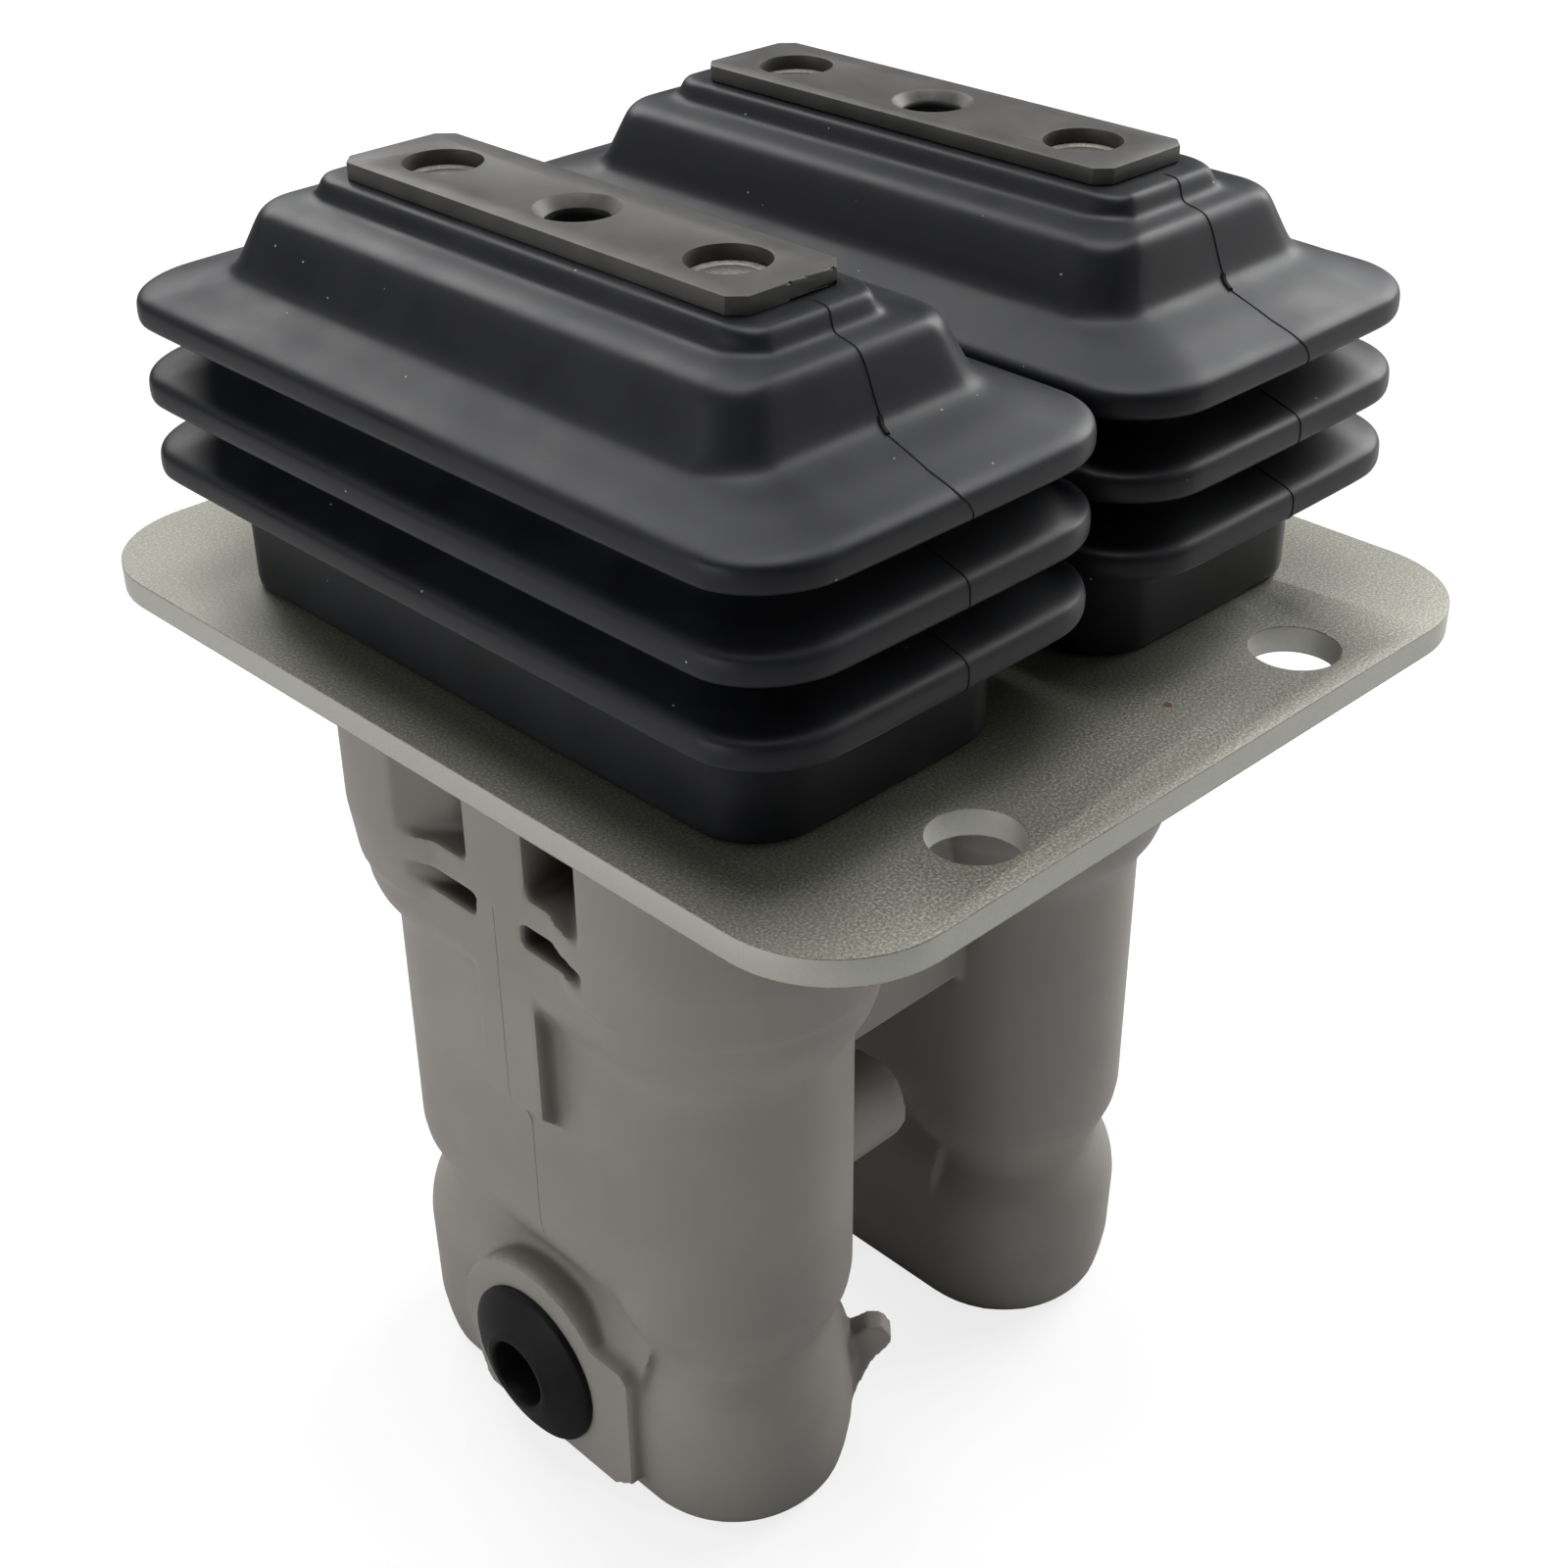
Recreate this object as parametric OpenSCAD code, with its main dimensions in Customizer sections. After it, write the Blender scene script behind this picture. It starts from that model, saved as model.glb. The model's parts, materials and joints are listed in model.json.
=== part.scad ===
// Foot pedal valve with two rocking pedals on four valve cylinders.
// Millimetres. X runs across the two pedals, Y along them, Z up.
// The origin is the middle of the floor bolt pattern on the underside of the mounting plate.
// The left pedal is at negative X. The front is at negative Y.

/* [Layout] */
// Distance between the two pedal centre lines
pedal_pitch = 72.4; // [60:0.1:90]
// Distance between the front and rear cylinder axes of one pedal
cylinder_pitch = 50.8; // [44:0.1:60]
// Height of the pedal pivot above the plate underside
pivot_z = 40; // [34:0.5:46]

/* [Mounting plate] */
// Plate width across the pedals
plate_x = 150; // [140:1:200]
// Plate length along the pedals
plate_y = 175; // [165:1:220]
// Plate thickness
plate_t = 4.5; // [3:0.5:10]
// Radius of the four plate corners
plate_corner_r = 19; // [5:0.5:30]
// Diameter of the four floor bolt holes
floor_hole_d = 14; // [8:0.5:16]
// Floor bolt spacing across the pedals
floor_pitch_x = 73; // [60:1:120]
// Floor bolt spacing along the pedals
floor_pitch_y = 152; // [140:1:200]

/* [Casting] */
// Depth of the casting below the plate
body_depth = 150.5; // [140:0.5:180]
// Radius of the upper collar of each cylinder
collar_r = 27.5; // [24:0.5:32]
// Radius of each cylinder in the middle
waist_r = 20.8; // [18:0.1:24]
// Radius of the neck above the foot of each cylinder
neck_r = 17.8; // [16:0.1:20]
// Radius of the foot of each cylinder
foot_r = 21.2; // [19:0.1:24]
// Half width of the block that joins the two legs, along Y
bridge_half_y = 30; // [20:1:34]
// Depth of the block that joins the two legs
bridge_depth = 70.5; // [40:0.5:90]
// Width of the upright rib between the two collars of a leg
rib_w = 14.4; // [12:0.1:20]
// Distance of the rib face from the leg centre
rib_reach = 24.9; // [21.5:0.1:27]
// Height of the side port centre above the bottom of the feet
side_port_rise = 20; // [18:0.1:30]
// Radius of the side port
side_port_r = 9.3; // [6:0.1:11]
// Radius of each working port in the cylinder feet
work_port_r = 5.9; // [4:0.1:8]
// Length of each working port thread
work_port_len = 12; // [8:0.5:16]

/* [Cylinder insides] */
// Diameter of the push rod
rod_d = 10; // [8:0.5:12]
// Height of the push rod top
rod_top_z = 24; // [18:0.5:26]
// Diameter of the guide plug flange
plug_d = 32; // [28:0.5:36]
// Depth of the guide plug below the plate
plug_depth = 11; // [9:0.5:14]
// Diameter of the guide plug neck
plug_neck_d = 24; // [20:0.5:26]
// Height of the guide plug neck top above the plate underside
plug_neck_z = 9; // [7:0.5:12]
// Diameter of the damping piston
piston_d = 28; // [24:0.5:30]
// Thickness of the damping piston
piston_t = 8; // [6:0.5:10]
// Diameter of the spring chamber
chamber_d = 22; // [20:0.5:24]
// Diameter of the metering spool
spool_d = 10; // [8:0.5:12]
// Diameter of the stem below the damping piston
stem_d = 8; // [6:0.5:9]
// Turns in each return spring
return_turns = 6; // [5:1:8]
// Turns in each metering spring
metering_turns = 7; // [5:1:9]
// Turns in each damping spring
damping_turns = 3; // [2:1:4]

/* [Pedal] */
// Width of the metal pedal plate
pedal_w = 20; // [16:0.5:30]
// Length of the metal pedal plate
pedal_len = 84; // [74:1:90]
// Thickness of the metal pedal plate
pedal_t = 2.5; // [2:0.1:5]
// Height of the pedal plate underside
pedal_z = 70; // [66:0.5:76]
// Spacing of the two tapped pedal holes
pedal_hole_pitch = 60; // [50:1:66]
// Clearance hole diameter in the pedal plate
pedal_hole_d = 12; // [10:0.5:14]
// Core diameter of the tapped pedal holes
pedal_tap_d = 8.5; // [5:0.1:9]
// Width of the rocker arms
arm_w = 20; // [16:0.5:22]
// Width of the rocker top bar
bar_w = 24; // [20:0.5:26]
// Length of the rocker top bar
bar_len = 88; // [80:1:92]
// Width of the raised head on the top bar
head_w = 14; // [12:0.5:16]
// Length of the raised head on the top bar
head_len = 76; // [70:1:80]

/* [Pivot] */
// Diameter of the pivot shaft
shaft_d = 12; // [10:0.5:14]
// Outside diameter of the rocker bushes
bush_d = 16; // [14:0.5:18]
// Thickness of each bracket ear
ear_t = 5; // [4:0.5:7]
// Distance from the pedal centre to the inner face of each ear
ear_in = 12; // [10:0.5:14]
// Thickness of the bracket base
bracket_base_t = 6; // [5:0.5:8]

/* [Rubber boot] */
// Half width of the boot at its lips
boot_lip_x = 35.3; // [33:0.1:35.8]
// Half length of the boot at its lips
boot_lip_y = 71.6; // [70:0.1:76]
// Thickness of each boot lip
boot_lip_t = 4.6; // [3.5:0.1:5.2]

/* [Clearances] */
// Radial running clearance of rods, spools, pistons and bushes
run_fit = 0.05; // [0.01:0.01:0.1]
// Gap between flat faces that are clamped together
face_gap = 0.05; // [0.02:0.01:0.1]
// Gap on each side between the rocker hub and the ears
side_gap = 0.2; // [0.1:0.05:0.4]

/* [Hidden] */

$fn = 72;
over = 1;

leg_x = pedal_pitch / 2;
cyl_y = cylinder_pitch / 2;
corners = [[-leg_x, -cyl_y], [-leg_x, cyl_y], [leg_x, -cyl_y], [leg_x, cyl_y]];

casting_colour = [0.56, 0.55, 0.52];
plate_colour = [0.62, 0.62, 0.56];
rubber_colour = [0.13, 0.13, 0.15];
dark_steel_colour = [0.24, 0.23, 0.21];
steel_colour = [0.7, 0.7, 0.7];
spring_colour = [0.45, 0.45, 0.48];
bronze_colour = [0.65, 0.5, 0.3];
plastic_colour = [0.12, 0.12, 0.13];

// Outline of one cylinder of the casting as radius and height, from the plate down.
function cylinder_outline(neck_z) = [
  [0, 0], [collar_r, 0], [collar_r, -29.5], [collar_r - 1.2, -39.2], [collar_r - 1.9, -39.8],
  [collar_r - 2.6, -44.3], [collar_r - 3.5, -46.9], [waist_r + 1.6, -49.6], [waist_r + 0.3, -52.3],
  [waist_r, -54.8], [waist_r, neck_z + 11], [waist_r - 0.5, neck_z + 7.8], [waist_r - 1.7, neck_z + 4.6],
  [neck_r, neck_z + 1.4], [neck_r, neck_z - 1.4], [neck_r + 1.1, neck_z - 4], [neck_r + 2.3, neck_z - 6.6],
  [foot_r - 0.4, neck_z - 9.2], [foot_r, neck_z - 12.5], [foot_r - 0.3, -body_depth + 10],
  [foot_r - 1, -body_depth + 5.5], [foot_r - 1.8, -body_depth + 2], [foot_r - 3.2, -body_depth], [0, -body_depth]
];
front_neck_z = -115;
rear_neck_z = -109.7;
web_neck_z = -110;
slot_floor = -35.9;
slot_top = -31.8;
slot_narrow = 1.6;
pocket_floor = -26.4;
pocket_roof = -2;
pocket_deep = 12;
pocket_span = 15.2;
pocket_end = 0.4;
rib_y = -1.3;
rib_bottom = -70;
rib_run_out = -74;
side_port_z = -body_depth + side_port_rise;
boss_r = 20.4;
boss_reach = 24;
// Flat pad round the lower half of the boss, as Y and height from the side port centre.
pad_outline = [
  [boss_r, 0], [15.5, -14], [14, -15.5], [-20, -15.5], [-25, -12], [-25, 11], [-23, 13], [0, 13], [0, 0]
];
port_bore_deep = 13;
drill_r = 3;
tank_drill_z = -62;
pressure_drill_z = -50;
lug_t = 4.5;
lug_turn = -44.6;
lug_outline = [
  [10, -121.4], [18.4, -121.4], [20.4, -121.3], [21.9, -120.4], [23.6, -119.4], [26.1, -119.6], [27.3, -121.2],
  [27.8, -122.8], [27.2, -124.3], [26.1, -125.7], [24.9, -126.9], [23.8, -129.1], [23, -131.5], [22.1, -133.5],
  [21, -137.6], [20.2, -142.5], [10, -142.5]
];
knob_r = 8.5;
knob_x = 2;
knob_y = -24;
knob_z = -90.5;

// Bores of one cylinder, from the plate down.
plug_seat_r = plug_d / 2 + run_fit;
damping_r = piston_d / 2 + run_fit;
chamber_r = chamber_d / 2;
damping_floor = -40;
chamber_floor = -84;
port_top = -(body_depth - work_port_len);

rod_r = rod_d / 2;
stem_r = stem_d / 2;
spool_r = spool_d / 2;
piston_top = -17;
piston_bottom = piston_top - piston_t;
seat_top = -44;
seat_shelf = -48;
seat_bottom = -51;
seat_r = 10.5;
seat_boss_r = 6.5;
rod_bottom = -47;
bleed_r = 0.8;
bleed_at = 9;
shoulder_top = -70;
shoulder_t = 2;
shoulder_r = 6.5;
nose_r = 2.5;
nose_top = -62;
spool_neck_r = 3.5;
land_top = -80;
spool_bottom = -128;
groove_r = 3.8;
spool_grooves = [-90, -104, -116];
spool_groove_w = 4;
spool_drill_r = 2;
spool_drill_top = -118;
return_mean_r = 8.75;
return_wire_r = 1;
metering_mean_r = 5;
metering_wire_r = 0.75;
damping_mean_r = 12.4;
damping_wire_r = 1.1;
spring_gap = 0.02;
wire_sides = 5;
steps_per_turn = 10;

wiper_r = 8;
wiper_z = 5;
ring_groove_r = 14.2;
ring_groove_top = -4;
ring_groove_w = 2.2;
o_ring_r = 0.85;

// Pivot bracket, its screws and the shaft.
bracket_top = plate_t + bracket_base_t;
bracket_half_x = ear_in + ear_t;
bracket_half_y = 12.6;
ear_top_r = 11;
bracket_screw_x = 6.5;
bracket_screw_y = 5.2;
bracket_screw_r = 2.5;
bracket_screw_end = -14;
bracket_screw_head_r = 4.25;
bracket_screw_head_h = 5;
bracket_screw_key = 4;
shaft_r = shaft_d / 2;
shaft_half = 20;
clip_at = bracket_half_x + 0.1;
clip_t = 1;
clip_groove_w = 1.2;
clip_groove_r = 5.4;
clip_out_r = 8;
clip_mouth = 5;

// Rocker.
hub_r = 11;
hub_half = ear_in - side_gap;
bush_r = bush_d / 2;
bush_gap_half = 2;
arm_half_y = 32;
arm_low = 33;
arm_high = 42;
pillar_half_y = 13;
bar_low = 56;
bar_high = 66;
bar_corner_r = 4;
centre_hole_r = 4.75;
centre_hole_deep = 16;
adjuster_r = 4;
adjuster_dome_r = 6;
adjuster_flats = 12;
adjuster_head_low = 27;
adjuster_head_top = 30;
adjuster_top = 50;
adjuster_gap = 0.1;
nut_flats = 13;
nut_h = 5;
pedal_chamfer = 2.2;

// Boot clamping frame inside the skirt.
frame_low = 6.15;
frame_t = 2.5;
frame_x = 23.3;
frame_y = 57.3;
frame_open_x = 19.8;
frame_open_y = 47.5;
frame_corner = 8;
frame_open_corner = 6;
frame_screw_x = 14;
frame_screw_y = 51;
frame_screw_r = 2;
frame_screw_end = 0.3;
frame_screw_head_r = 3.5;
frame_screw_head_h = 2.4;

// Rings of the rubber boot: height, half width, half length, corner radius.
// The lips are described from their lower edges, lowest lip first.
lip_low = [23.6, 35.6, 48];
fold_out = [27.3, 61.6, 11.2];
fold_in = [24.9, 59.3, 8.8];
lip_in = [31.2, 67.2, 11.4];

function at_height(z, ring) = [z, ring[0], ring[1], ring[2]];

function lip_rings(low) = [
  [low - 2.3, 28.2, 62.6, 11.4], [low - 0.5, boot_lip_x - 2.4, boot_lip_y - 2.4, 13.2],
  [low, boot_lip_x - 0.6, boot_lip_y - 0.6, 14], [low + 0.8, boot_lip_x, boot_lip_y, 14.5],
  [low + boot_lip_t - 0.8, boot_lip_x - 0.1, boot_lip_y - 0.1, 14.5],
  [low + boot_lip_t, boot_lip_x - 0.9, boot_lip_y - 0.9, 14],
  [low + boot_lip_t + 0.9, boot_lip_x - 3.2, boot_lip_y - 3.2, 13], [low + boot_lip_t + 2.6, 28.2, 62.6, 11.4]
];

function lip_hollow(low) = [at_height(low + 2.9, lip_in), at_height(low + 1.7, lip_in)];

boot_rings = concat(
  [[4.55, 26.5, 60.5, 11], [17.5, 26.5, 60.5, 11], at_height(20.6, fold_out)],
  lip_rings(lip_low[0]), [at_height(31.5, fold_out), at_height(32.6, fold_out)],
  lip_rings(lip_low[1]), [at_height(43.6, fold_out), at_height(44.9, fold_out)],
  lip_rings(lip_low[2]),
  [
    [56.4, 25.4, 57.4, 9], [57.4, 24.5, 55.9, 8.5], [59, 23.7, 55, 8], [63.6, 21.6, 53.4, 6.8],
    [65.3, 20.5, 52.7, 6], [66.2, 18.6, 51.6, 5.6], [66.6, 15.6, 49.6, 5], [67.1, 13.5, 47.9, 5],
    [69, 12.7, 47, 4.8], [69.8, 11.9, 46.1, 4.4], [69.95, 10.6, 44.6, 4], [69.95, 7.1, 38.1, 2],
    [66.05, 7.1, 38.1, 2], [66.05, 12.3, 44.3, 3.6], [64.4, 12.9, 46.4, 5], [63.6, 16.8, 50, 6],
    [62, 18.9, 51, 6.6], [57, 22, 53, 7.4], [54.6, 23, 54, 8]
  ],
  lip_hollow(lip_low[2]), [at_height(45.2, fold_in), at_height(43.4, fold_in)],
  lip_hollow(lip_low[1]), [at_height(33, fold_in), at_height(31.2, fold_in)],
  lip_hollow(lip_low[0]),
  [
    [20.4, 24.6, 58.6, 8.8], [17.5, 23.5, 57.5, 8.2], [6.1, 23.5, 57.5, 8.2],
    [6.1, 20.2, 54.3, 6], [4.55, 20.2, 54.3, 6]
  ]
);
corner_steps = 6;

// Flat and solid helpers.
module round_rect(half_x, half_y, r) {
  union() {
    square([2 * half_x, 2 * (half_y - r)], center = true);
    square([2 * (half_x - r), 2 * half_y], center = true);
    for (sx = [-1, 1]) for (sy = [-1, 1])
      translate([sx * (half_x - r), sy * (half_y - r)]) circle(r = r);
  }
}

module slab(z_low, z_high, half_x, half_y, r) {
  translate([0, 0, z_low]) linear_extrude(height = z_high - z_low) round_rect(half_x, half_y, r);
}

module block(x_low, x_high, y_low, y_high, z_low, z_high) {
  translate([x_low, y_low, z_low]) cube([x_high - x_low, y_high - y_low, z_high - z_low]);
}

module post(r, z_low, z_high) {
  translate([0, 0, z_low]) cylinder(r = r, h = z_high - z_low);
}

module bar_x(r, x_low, x_high) {
  translate([x_low, 0, 0]) rotate([0, 90, 0]) cylinder(r = r, h = x_high - x_low);
}

module hex_post(flats, z_low, z_high) {
  translate([0, 0, z_low]) cylinder(d = flats / cos(30), h = z_high - z_low, $fn = 6);
}

// Coil spring between two heights, swept as rings of points along a helix.
module coil(mean_r, wire_r, z_low, z_high, turns) {
  count = turns * steps_per_turn;
  rise = z_high - z_low - 2 * wire_r;
  points = [
    for (i = [0:count]) let (a = 360 * i / steps_per_turn, z = z_low + wire_r + rise * i / count)
      for (k = [0:wire_sides - 1]) let (b = 360 * k / wire_sides, r = mean_r + wire_r * cos(b))
        [r * cos(a), r * sin(a), z + wire_r * sin(b)]
  ];
  sides = [
    for (i = [0:count - 1]) for (k = [0:wire_sides - 1]) let (n = (k + 1) % wire_sides)
      [i * wire_sides + k, i * wire_sides + n, (i + 1) * wire_sides + n, (i + 1) * wire_sides + k]
  ];
  ends = [
    [for (k = [wire_sides - 1:-1:0]) k],
    [for (k = [0:wire_sides - 1]) count * wire_sides + k]
  ];
  polyhedron(points = points, faces = concat(sides, ends), convexity = 10);
}

// Points of one boot ring, anticlockwise from the +X side.
function ring_points(ring) = [
  for (c = [0:3]) for (i = [0:corner_steps]) let (
    a = 90 * c + 90 * i / corner_steps,
    sx = (c == 0 || c == 3) ? 1 : -1,
    sy = (c < 2) ? 1 : -1
  ) [
    sx * (ring[1] - ring[3]) + ring[3] * cos(a),
    sy * (ring[2] - ring[3]) + ring[3] * sin(a),
    ring[0]
  ]
];

// Closed loop of rings: up the outside of the boot and down the inside.
module ring_loft(rings) {
  per = 4 * (corner_steps + 1);
  count = len(rings);
  points = [for (ring = rings) for (p = ring_points(ring)) p];
  faces = [
    for (j = [0:count - 1]) for (k = [0:per - 1]) let (n = (k + 1) % per, up = (j + 1) % count)
      [j * per + k, up * per + k, up * per + n, j * per + n]
  ];
  polyhedron(points = points, faces = faces, convexity = 10);
}

// The casting.
module leg_shell() {
  translate([0, -cyl_y, 0]) rotate_extrude() polygon(cylinder_outline(front_neck_z));
  translate([0, cyl_y, 0]) rotate_extrude() polygon(cylinder_outline(rear_neck_z));
  intersection() {
    rotate([90, 0, 0]) linear_extrude(height = cylinder_pitch, center = true) {
      polygon(cylinder_outline(web_neck_z));
      mirror([1, 0]) polygon(cylinder_outline(web_neck_z));
    }
    block(-rib_reach, rib_reach, -cyl_y, cyl_y, -body_depth, slot_floor);
  }
  block(-pocket_deep, pocket_deep, -cyl_y, cyl_y, slot_floor, 0);
  block(-rib_reach, rib_reach, -cyl_y, cyl_y, slot_top, pocket_floor);
}

// Upright rib on the outer side of a leg that faces negative X. Its lower end slopes into the web.
module rib() {
  translate([0, rib_y, 0]) rotate([90, 0, 0]) linear_extrude(height = rib_w, center = true)
    polygon([[0, 0], [-rib_reach, 0], [-rib_reach, rib_bottom], [-waist_r, rib_run_out], [0, rib_run_out]]);
}

// Pockets beside the rib, on the outer side of a leg that faces negative X.
module rib_pocket(z_low, z_high, start) {
  wedge = [
    [-pocket_deep, start], [-collar_r + pocket_end, rib_w / 2 + pocket_span],
    [-collar_r - over, rib_w / 2 + pocket_span], [-collar_r - over, start]
  ];
  translate([0, rib_y, z_low]) for (flip = [0, 1]) mirror([0, flip, 0])
    linear_extrude(height = z_high - z_low) polygon(wedge);
}

// Boss for the side port on the side that faces negative X.
module port_boss() {
  translate([-boss_reach, 0, side_port_z]) rotate([90, 0, 90]) linear_extrude(height = boss_reach) {
    intersection() {
      circle(r = boss_r);
      translate([-boss_r, 0]) square([2 * boss_r, boss_r]);
    }
    polygon(pad_outline);
  }
}

module port_bore() {
  translate([0, 0, side_port_z]) {
    bar_x(side_port_r, -boss_reach - over, -boss_reach + port_bore_deep);
    bar_x(drill_r, -boss_reach, 0);
    rotate([90, 0, 0]) cylinder(r = drill_r, h = cylinder_pitch, center = true);
  }
  post(drill_r, side_port_z, pressure_drill_z);
}

module lug() {
  rotate([0, 0, lug_turn]) rotate([90, 0, 0])
    linear_extrude(height = lug_t, center = true) polygon(lug_outline);
}

module cylinder_bores() {
  post(plug_seat_r, -plug_depth - face_gap, over);
  post(damping_r, damping_floor, 0);
  post(chamber_r, chamber_floor, 0);
  post(spool_r + run_fit, port_top - over, 0);
  post(work_port_r, -body_depth - over, port_top);
}

module valve_body() {
  color(casting_colour) difference() {
    union() {
      for (side = [0, 1]) mirror([side, 0, 0]) translate([-leg_x, 0, 0]) {
        difference() {
          union() {
            leg_shell();
            rib();
          }
          rib_pocket(pocket_floor, pocket_roof, rib_w / 2);
          rib_pocket(slot_floor, slot_top, rib_w / 2 - slot_narrow);
        }
        port_boss();
      }
      block(-leg_x, leg_x, -bridge_half_y, bridge_half_y, -bridge_depth, 0);
      translate([-leg_x, -cyl_y, 0]) lug();
      translate([0, knob_y, knob_z]) union() {
        bar_x(knob_r, -leg_x, knob_x - 2);
        bar_x(knob_r - 2, -leg_x, knob_x);
      }
    }
    for (c = corners) translate([c[0], c[1], 0]) cylinder_bores();
    for (side = [0, 1]) mirror([side, 0, 0]) translate([-leg_x, 0, 0]) port_bore();
    translate([0, 0, pressure_drill_z]) bar_x(drill_r, -leg_x - drill_r, leg_x + drill_r);
    for (sy = [-1, 1]) translate([0, sy * cyl_y, tank_drill_z]) bar_x(drill_r, -leg_x, leg_x);
    for (p = bracket_screw_points) translate([p[0], p[1], 0])
      post(bracket_screw_r + run_fit, bracket_screw_end - over, over);
  }
}

bracket_screw_points = [
  for (px = [-leg_x, leg_x]) for (sx = [-1, 1]) for (sy = [-1, 1])
    [px + sx * bracket_screw_x, sy * bracket_screw_y]
];
frame_screw_points = [
  for (px = [-leg_x, leg_x]) for (sx = [-1, 1]) for (sy = [-1, 1])
    [px + sx * frame_screw_x, sy * frame_screw_y]
];

module mounting_plate() {
  color(plate_colour) difference() {
    slab(0, plate_t, plate_x / 2, plate_y / 2, plate_corner_r);
    for (sx = [-1, 1]) for (sy = [-1, 1])
      translate([sx * floor_pitch_x / 2, sy * floor_pitch_y / 2, 0])
        post(floor_hole_d / 2, -over, plate_t + over);
    for (c = corners) translate([c[0], c[1], 0]) post(plug_neck_d / 2 + 0.2, -over, plate_t + over);
    for (p = bracket_screw_points) translate([p[0], p[1], 0])
      post(bracket_screw_r + 0.25, -over, plate_t + over);
    for (p = frame_screw_points) translate([p[0], p[1], 0])
      post(frame_screw_r + run_fit, -over, plate_t + over);
  }
}

// Transport plug in a side port that faces negative X: a flange that domes up to a hollow hub.
plug_flange_r = 15.2;
plug_rim_t = 1.2;
plug_rise = 4.6;
plug_hub_out_r = 7.6;
plug_hub_r = 6.4;
plug_hub_deep = 9;
plug_shank_len = 9;
plug_outline = [
  [0, 0], [plug_flange_r - 0.2, 0], [plug_flange_r, 0.3], [plug_flange_r, plug_rim_t - 0.3],
  [plug_flange_r - 0.6, plug_rim_t], [plug_hub_out_r + 1.4, plug_rise - 0.8], [plug_hub_out_r, plug_rise],
  [plug_hub_r, plug_rise], [plug_hub_r, plug_rise - 1.6], [0, plug_rise - 1.6]
];

module port_plug() {
  translate([-boss_reach - face_gap, 0, side_port_z]) difference() {
    union() {
      rotate([0, -90, 0]) rotate_extrude() polygon(plug_outline);
      bar_x(side_port_r - 0.1, -over, plug_shank_len);
    }
    bar_x(plug_hub_r - 0.6, -plug_rise - over, plug_hub_deep - plug_rise);
  }
}

module port_plugs() {
  color(plastic_colour) for (side = [0, 1]) mirror([side, 0, 0]) translate([-leg_x, 0, 0]) port_plug();
}

module guide_plug() {
  difference() {
    union() {
      post(plug_d / 2, -plug_depth, -face_gap);
      post(plug_neck_d / 2, -plug_depth, plug_neck_z);
    }
    post(rod_r + run_fit, -plug_depth - over, plug_neck_z + over);
    post(wiper_r, wiper_z, plug_neck_z + over);
    difference() {
      post(plug_d / 2 + over, ring_groove_top - ring_groove_w, ring_groove_top);
      post(ring_groove_r, ring_groove_top - ring_groove_w - over, ring_groove_top + over);
    }
  }
}

module guide_plugs() {
  color(steel_colour) for (c = corners) translate([c[0], c[1], 0]) guide_plug();
}

module wiper_seals() {
  color(rubber_colour) for (c = corners) translate([c[0], c[1], 0]) difference() {
    post(wiper_r - face_gap, wiper_z + face_gap, plug_neck_z - face_gap);
    post(rod_r + run_fit, wiper_z - over, plug_neck_z + over);
  }
}

module plug_o_rings() {
  color(rubber_colour) for (c = corners)
    translate([c[0], c[1], ring_groove_top - ring_groove_w / 2]) rotate_extrude()
      translate([ring_groove_r + o_ring_r + 0.03, 0]) circle(r = o_ring_r, $fn = 32);
}

// Pivot bracket under each pedal.
module pivot_bracket() {
  ear = [
    [-bracket_half_y, plate_t + face_gap], [bracket_half_y, plate_t + face_gap],
    [bracket_half_y, bracket_top], [ear_top_r, pivot_z], [-ear_top_r, pivot_z],
    [-bracket_half_y, bracket_top]
  ];
  difference() {
    union() {
      block(-bracket_half_x, bracket_half_x, -bracket_half_y, bracket_half_y, plate_t + face_gap, bracket_top);
      for (side = [0, 1]) mirror([side, 0, 0]) translate([ear_in, 0, 0])
        rotate([90, 0, 90]) linear_extrude(height = ear_t) {
          polygon(ear);
          translate([0, pivot_z]) circle(r = ear_top_r);
        }
    }
    translate([0, 0, pivot_z]) bar_x(shaft_r + run_fit, -bracket_half_x - over, bracket_half_x + over);
    for (sx = [-1, 1]) for (sy = [-1, 1])
      translate([sx * bracket_screw_x, sy * bracket_screw_y, 0])
        post(bracket_screw_r + 0.25, 0, bracket_top + over);
  }
}

module left_pivot_bracket() { color(steel_colour) translate([-leg_x, 0, 0]) pivot_bracket(); }
module right_pivot_bracket() { color(steel_colour) translate([leg_x, 0, 0]) pivot_bracket(); }

module bracket_screws() {
  color(dark_steel_colour) for (p = bracket_screw_points) translate([p[0], p[1], 0]) difference() {
    union() {
      post(bracket_screw_r, bracket_screw_end, bracket_top + over);
      post(bracket_screw_head_r, bracket_top + face_gap, bracket_top + bracket_screw_head_h);
    }
    hex_post(bracket_screw_key, bracket_top + 2.2, bracket_top + bracket_screw_head_h + over);
  }
}

module pivot_shaft() {
  translate([0, 0, pivot_z]) difference() {
    union() {
      bar_x(shaft_r, -shaft_half + 0.6, shaft_half - 0.6);
      bar_x(shaft_r - 0.6, -shaft_half, shaft_half);
    }
    for (side = [0, 1]) mirror([side, 0, 0]) difference() {
      bar_x(shaft_r + over, clip_at - face_gap, clip_at - face_gap + clip_groove_w);
      bar_x(clip_groove_r, clip_at - over, clip_at + clip_groove_w + over);
    }
  }
}

module left_pivot_shaft() { color(steel_colour) translate([-leg_x, 0, 0]) pivot_shaft(); }
module right_pivot_shaft() { color(steel_colour) translate([leg_x, 0, 0]) pivot_shaft(); }

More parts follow.
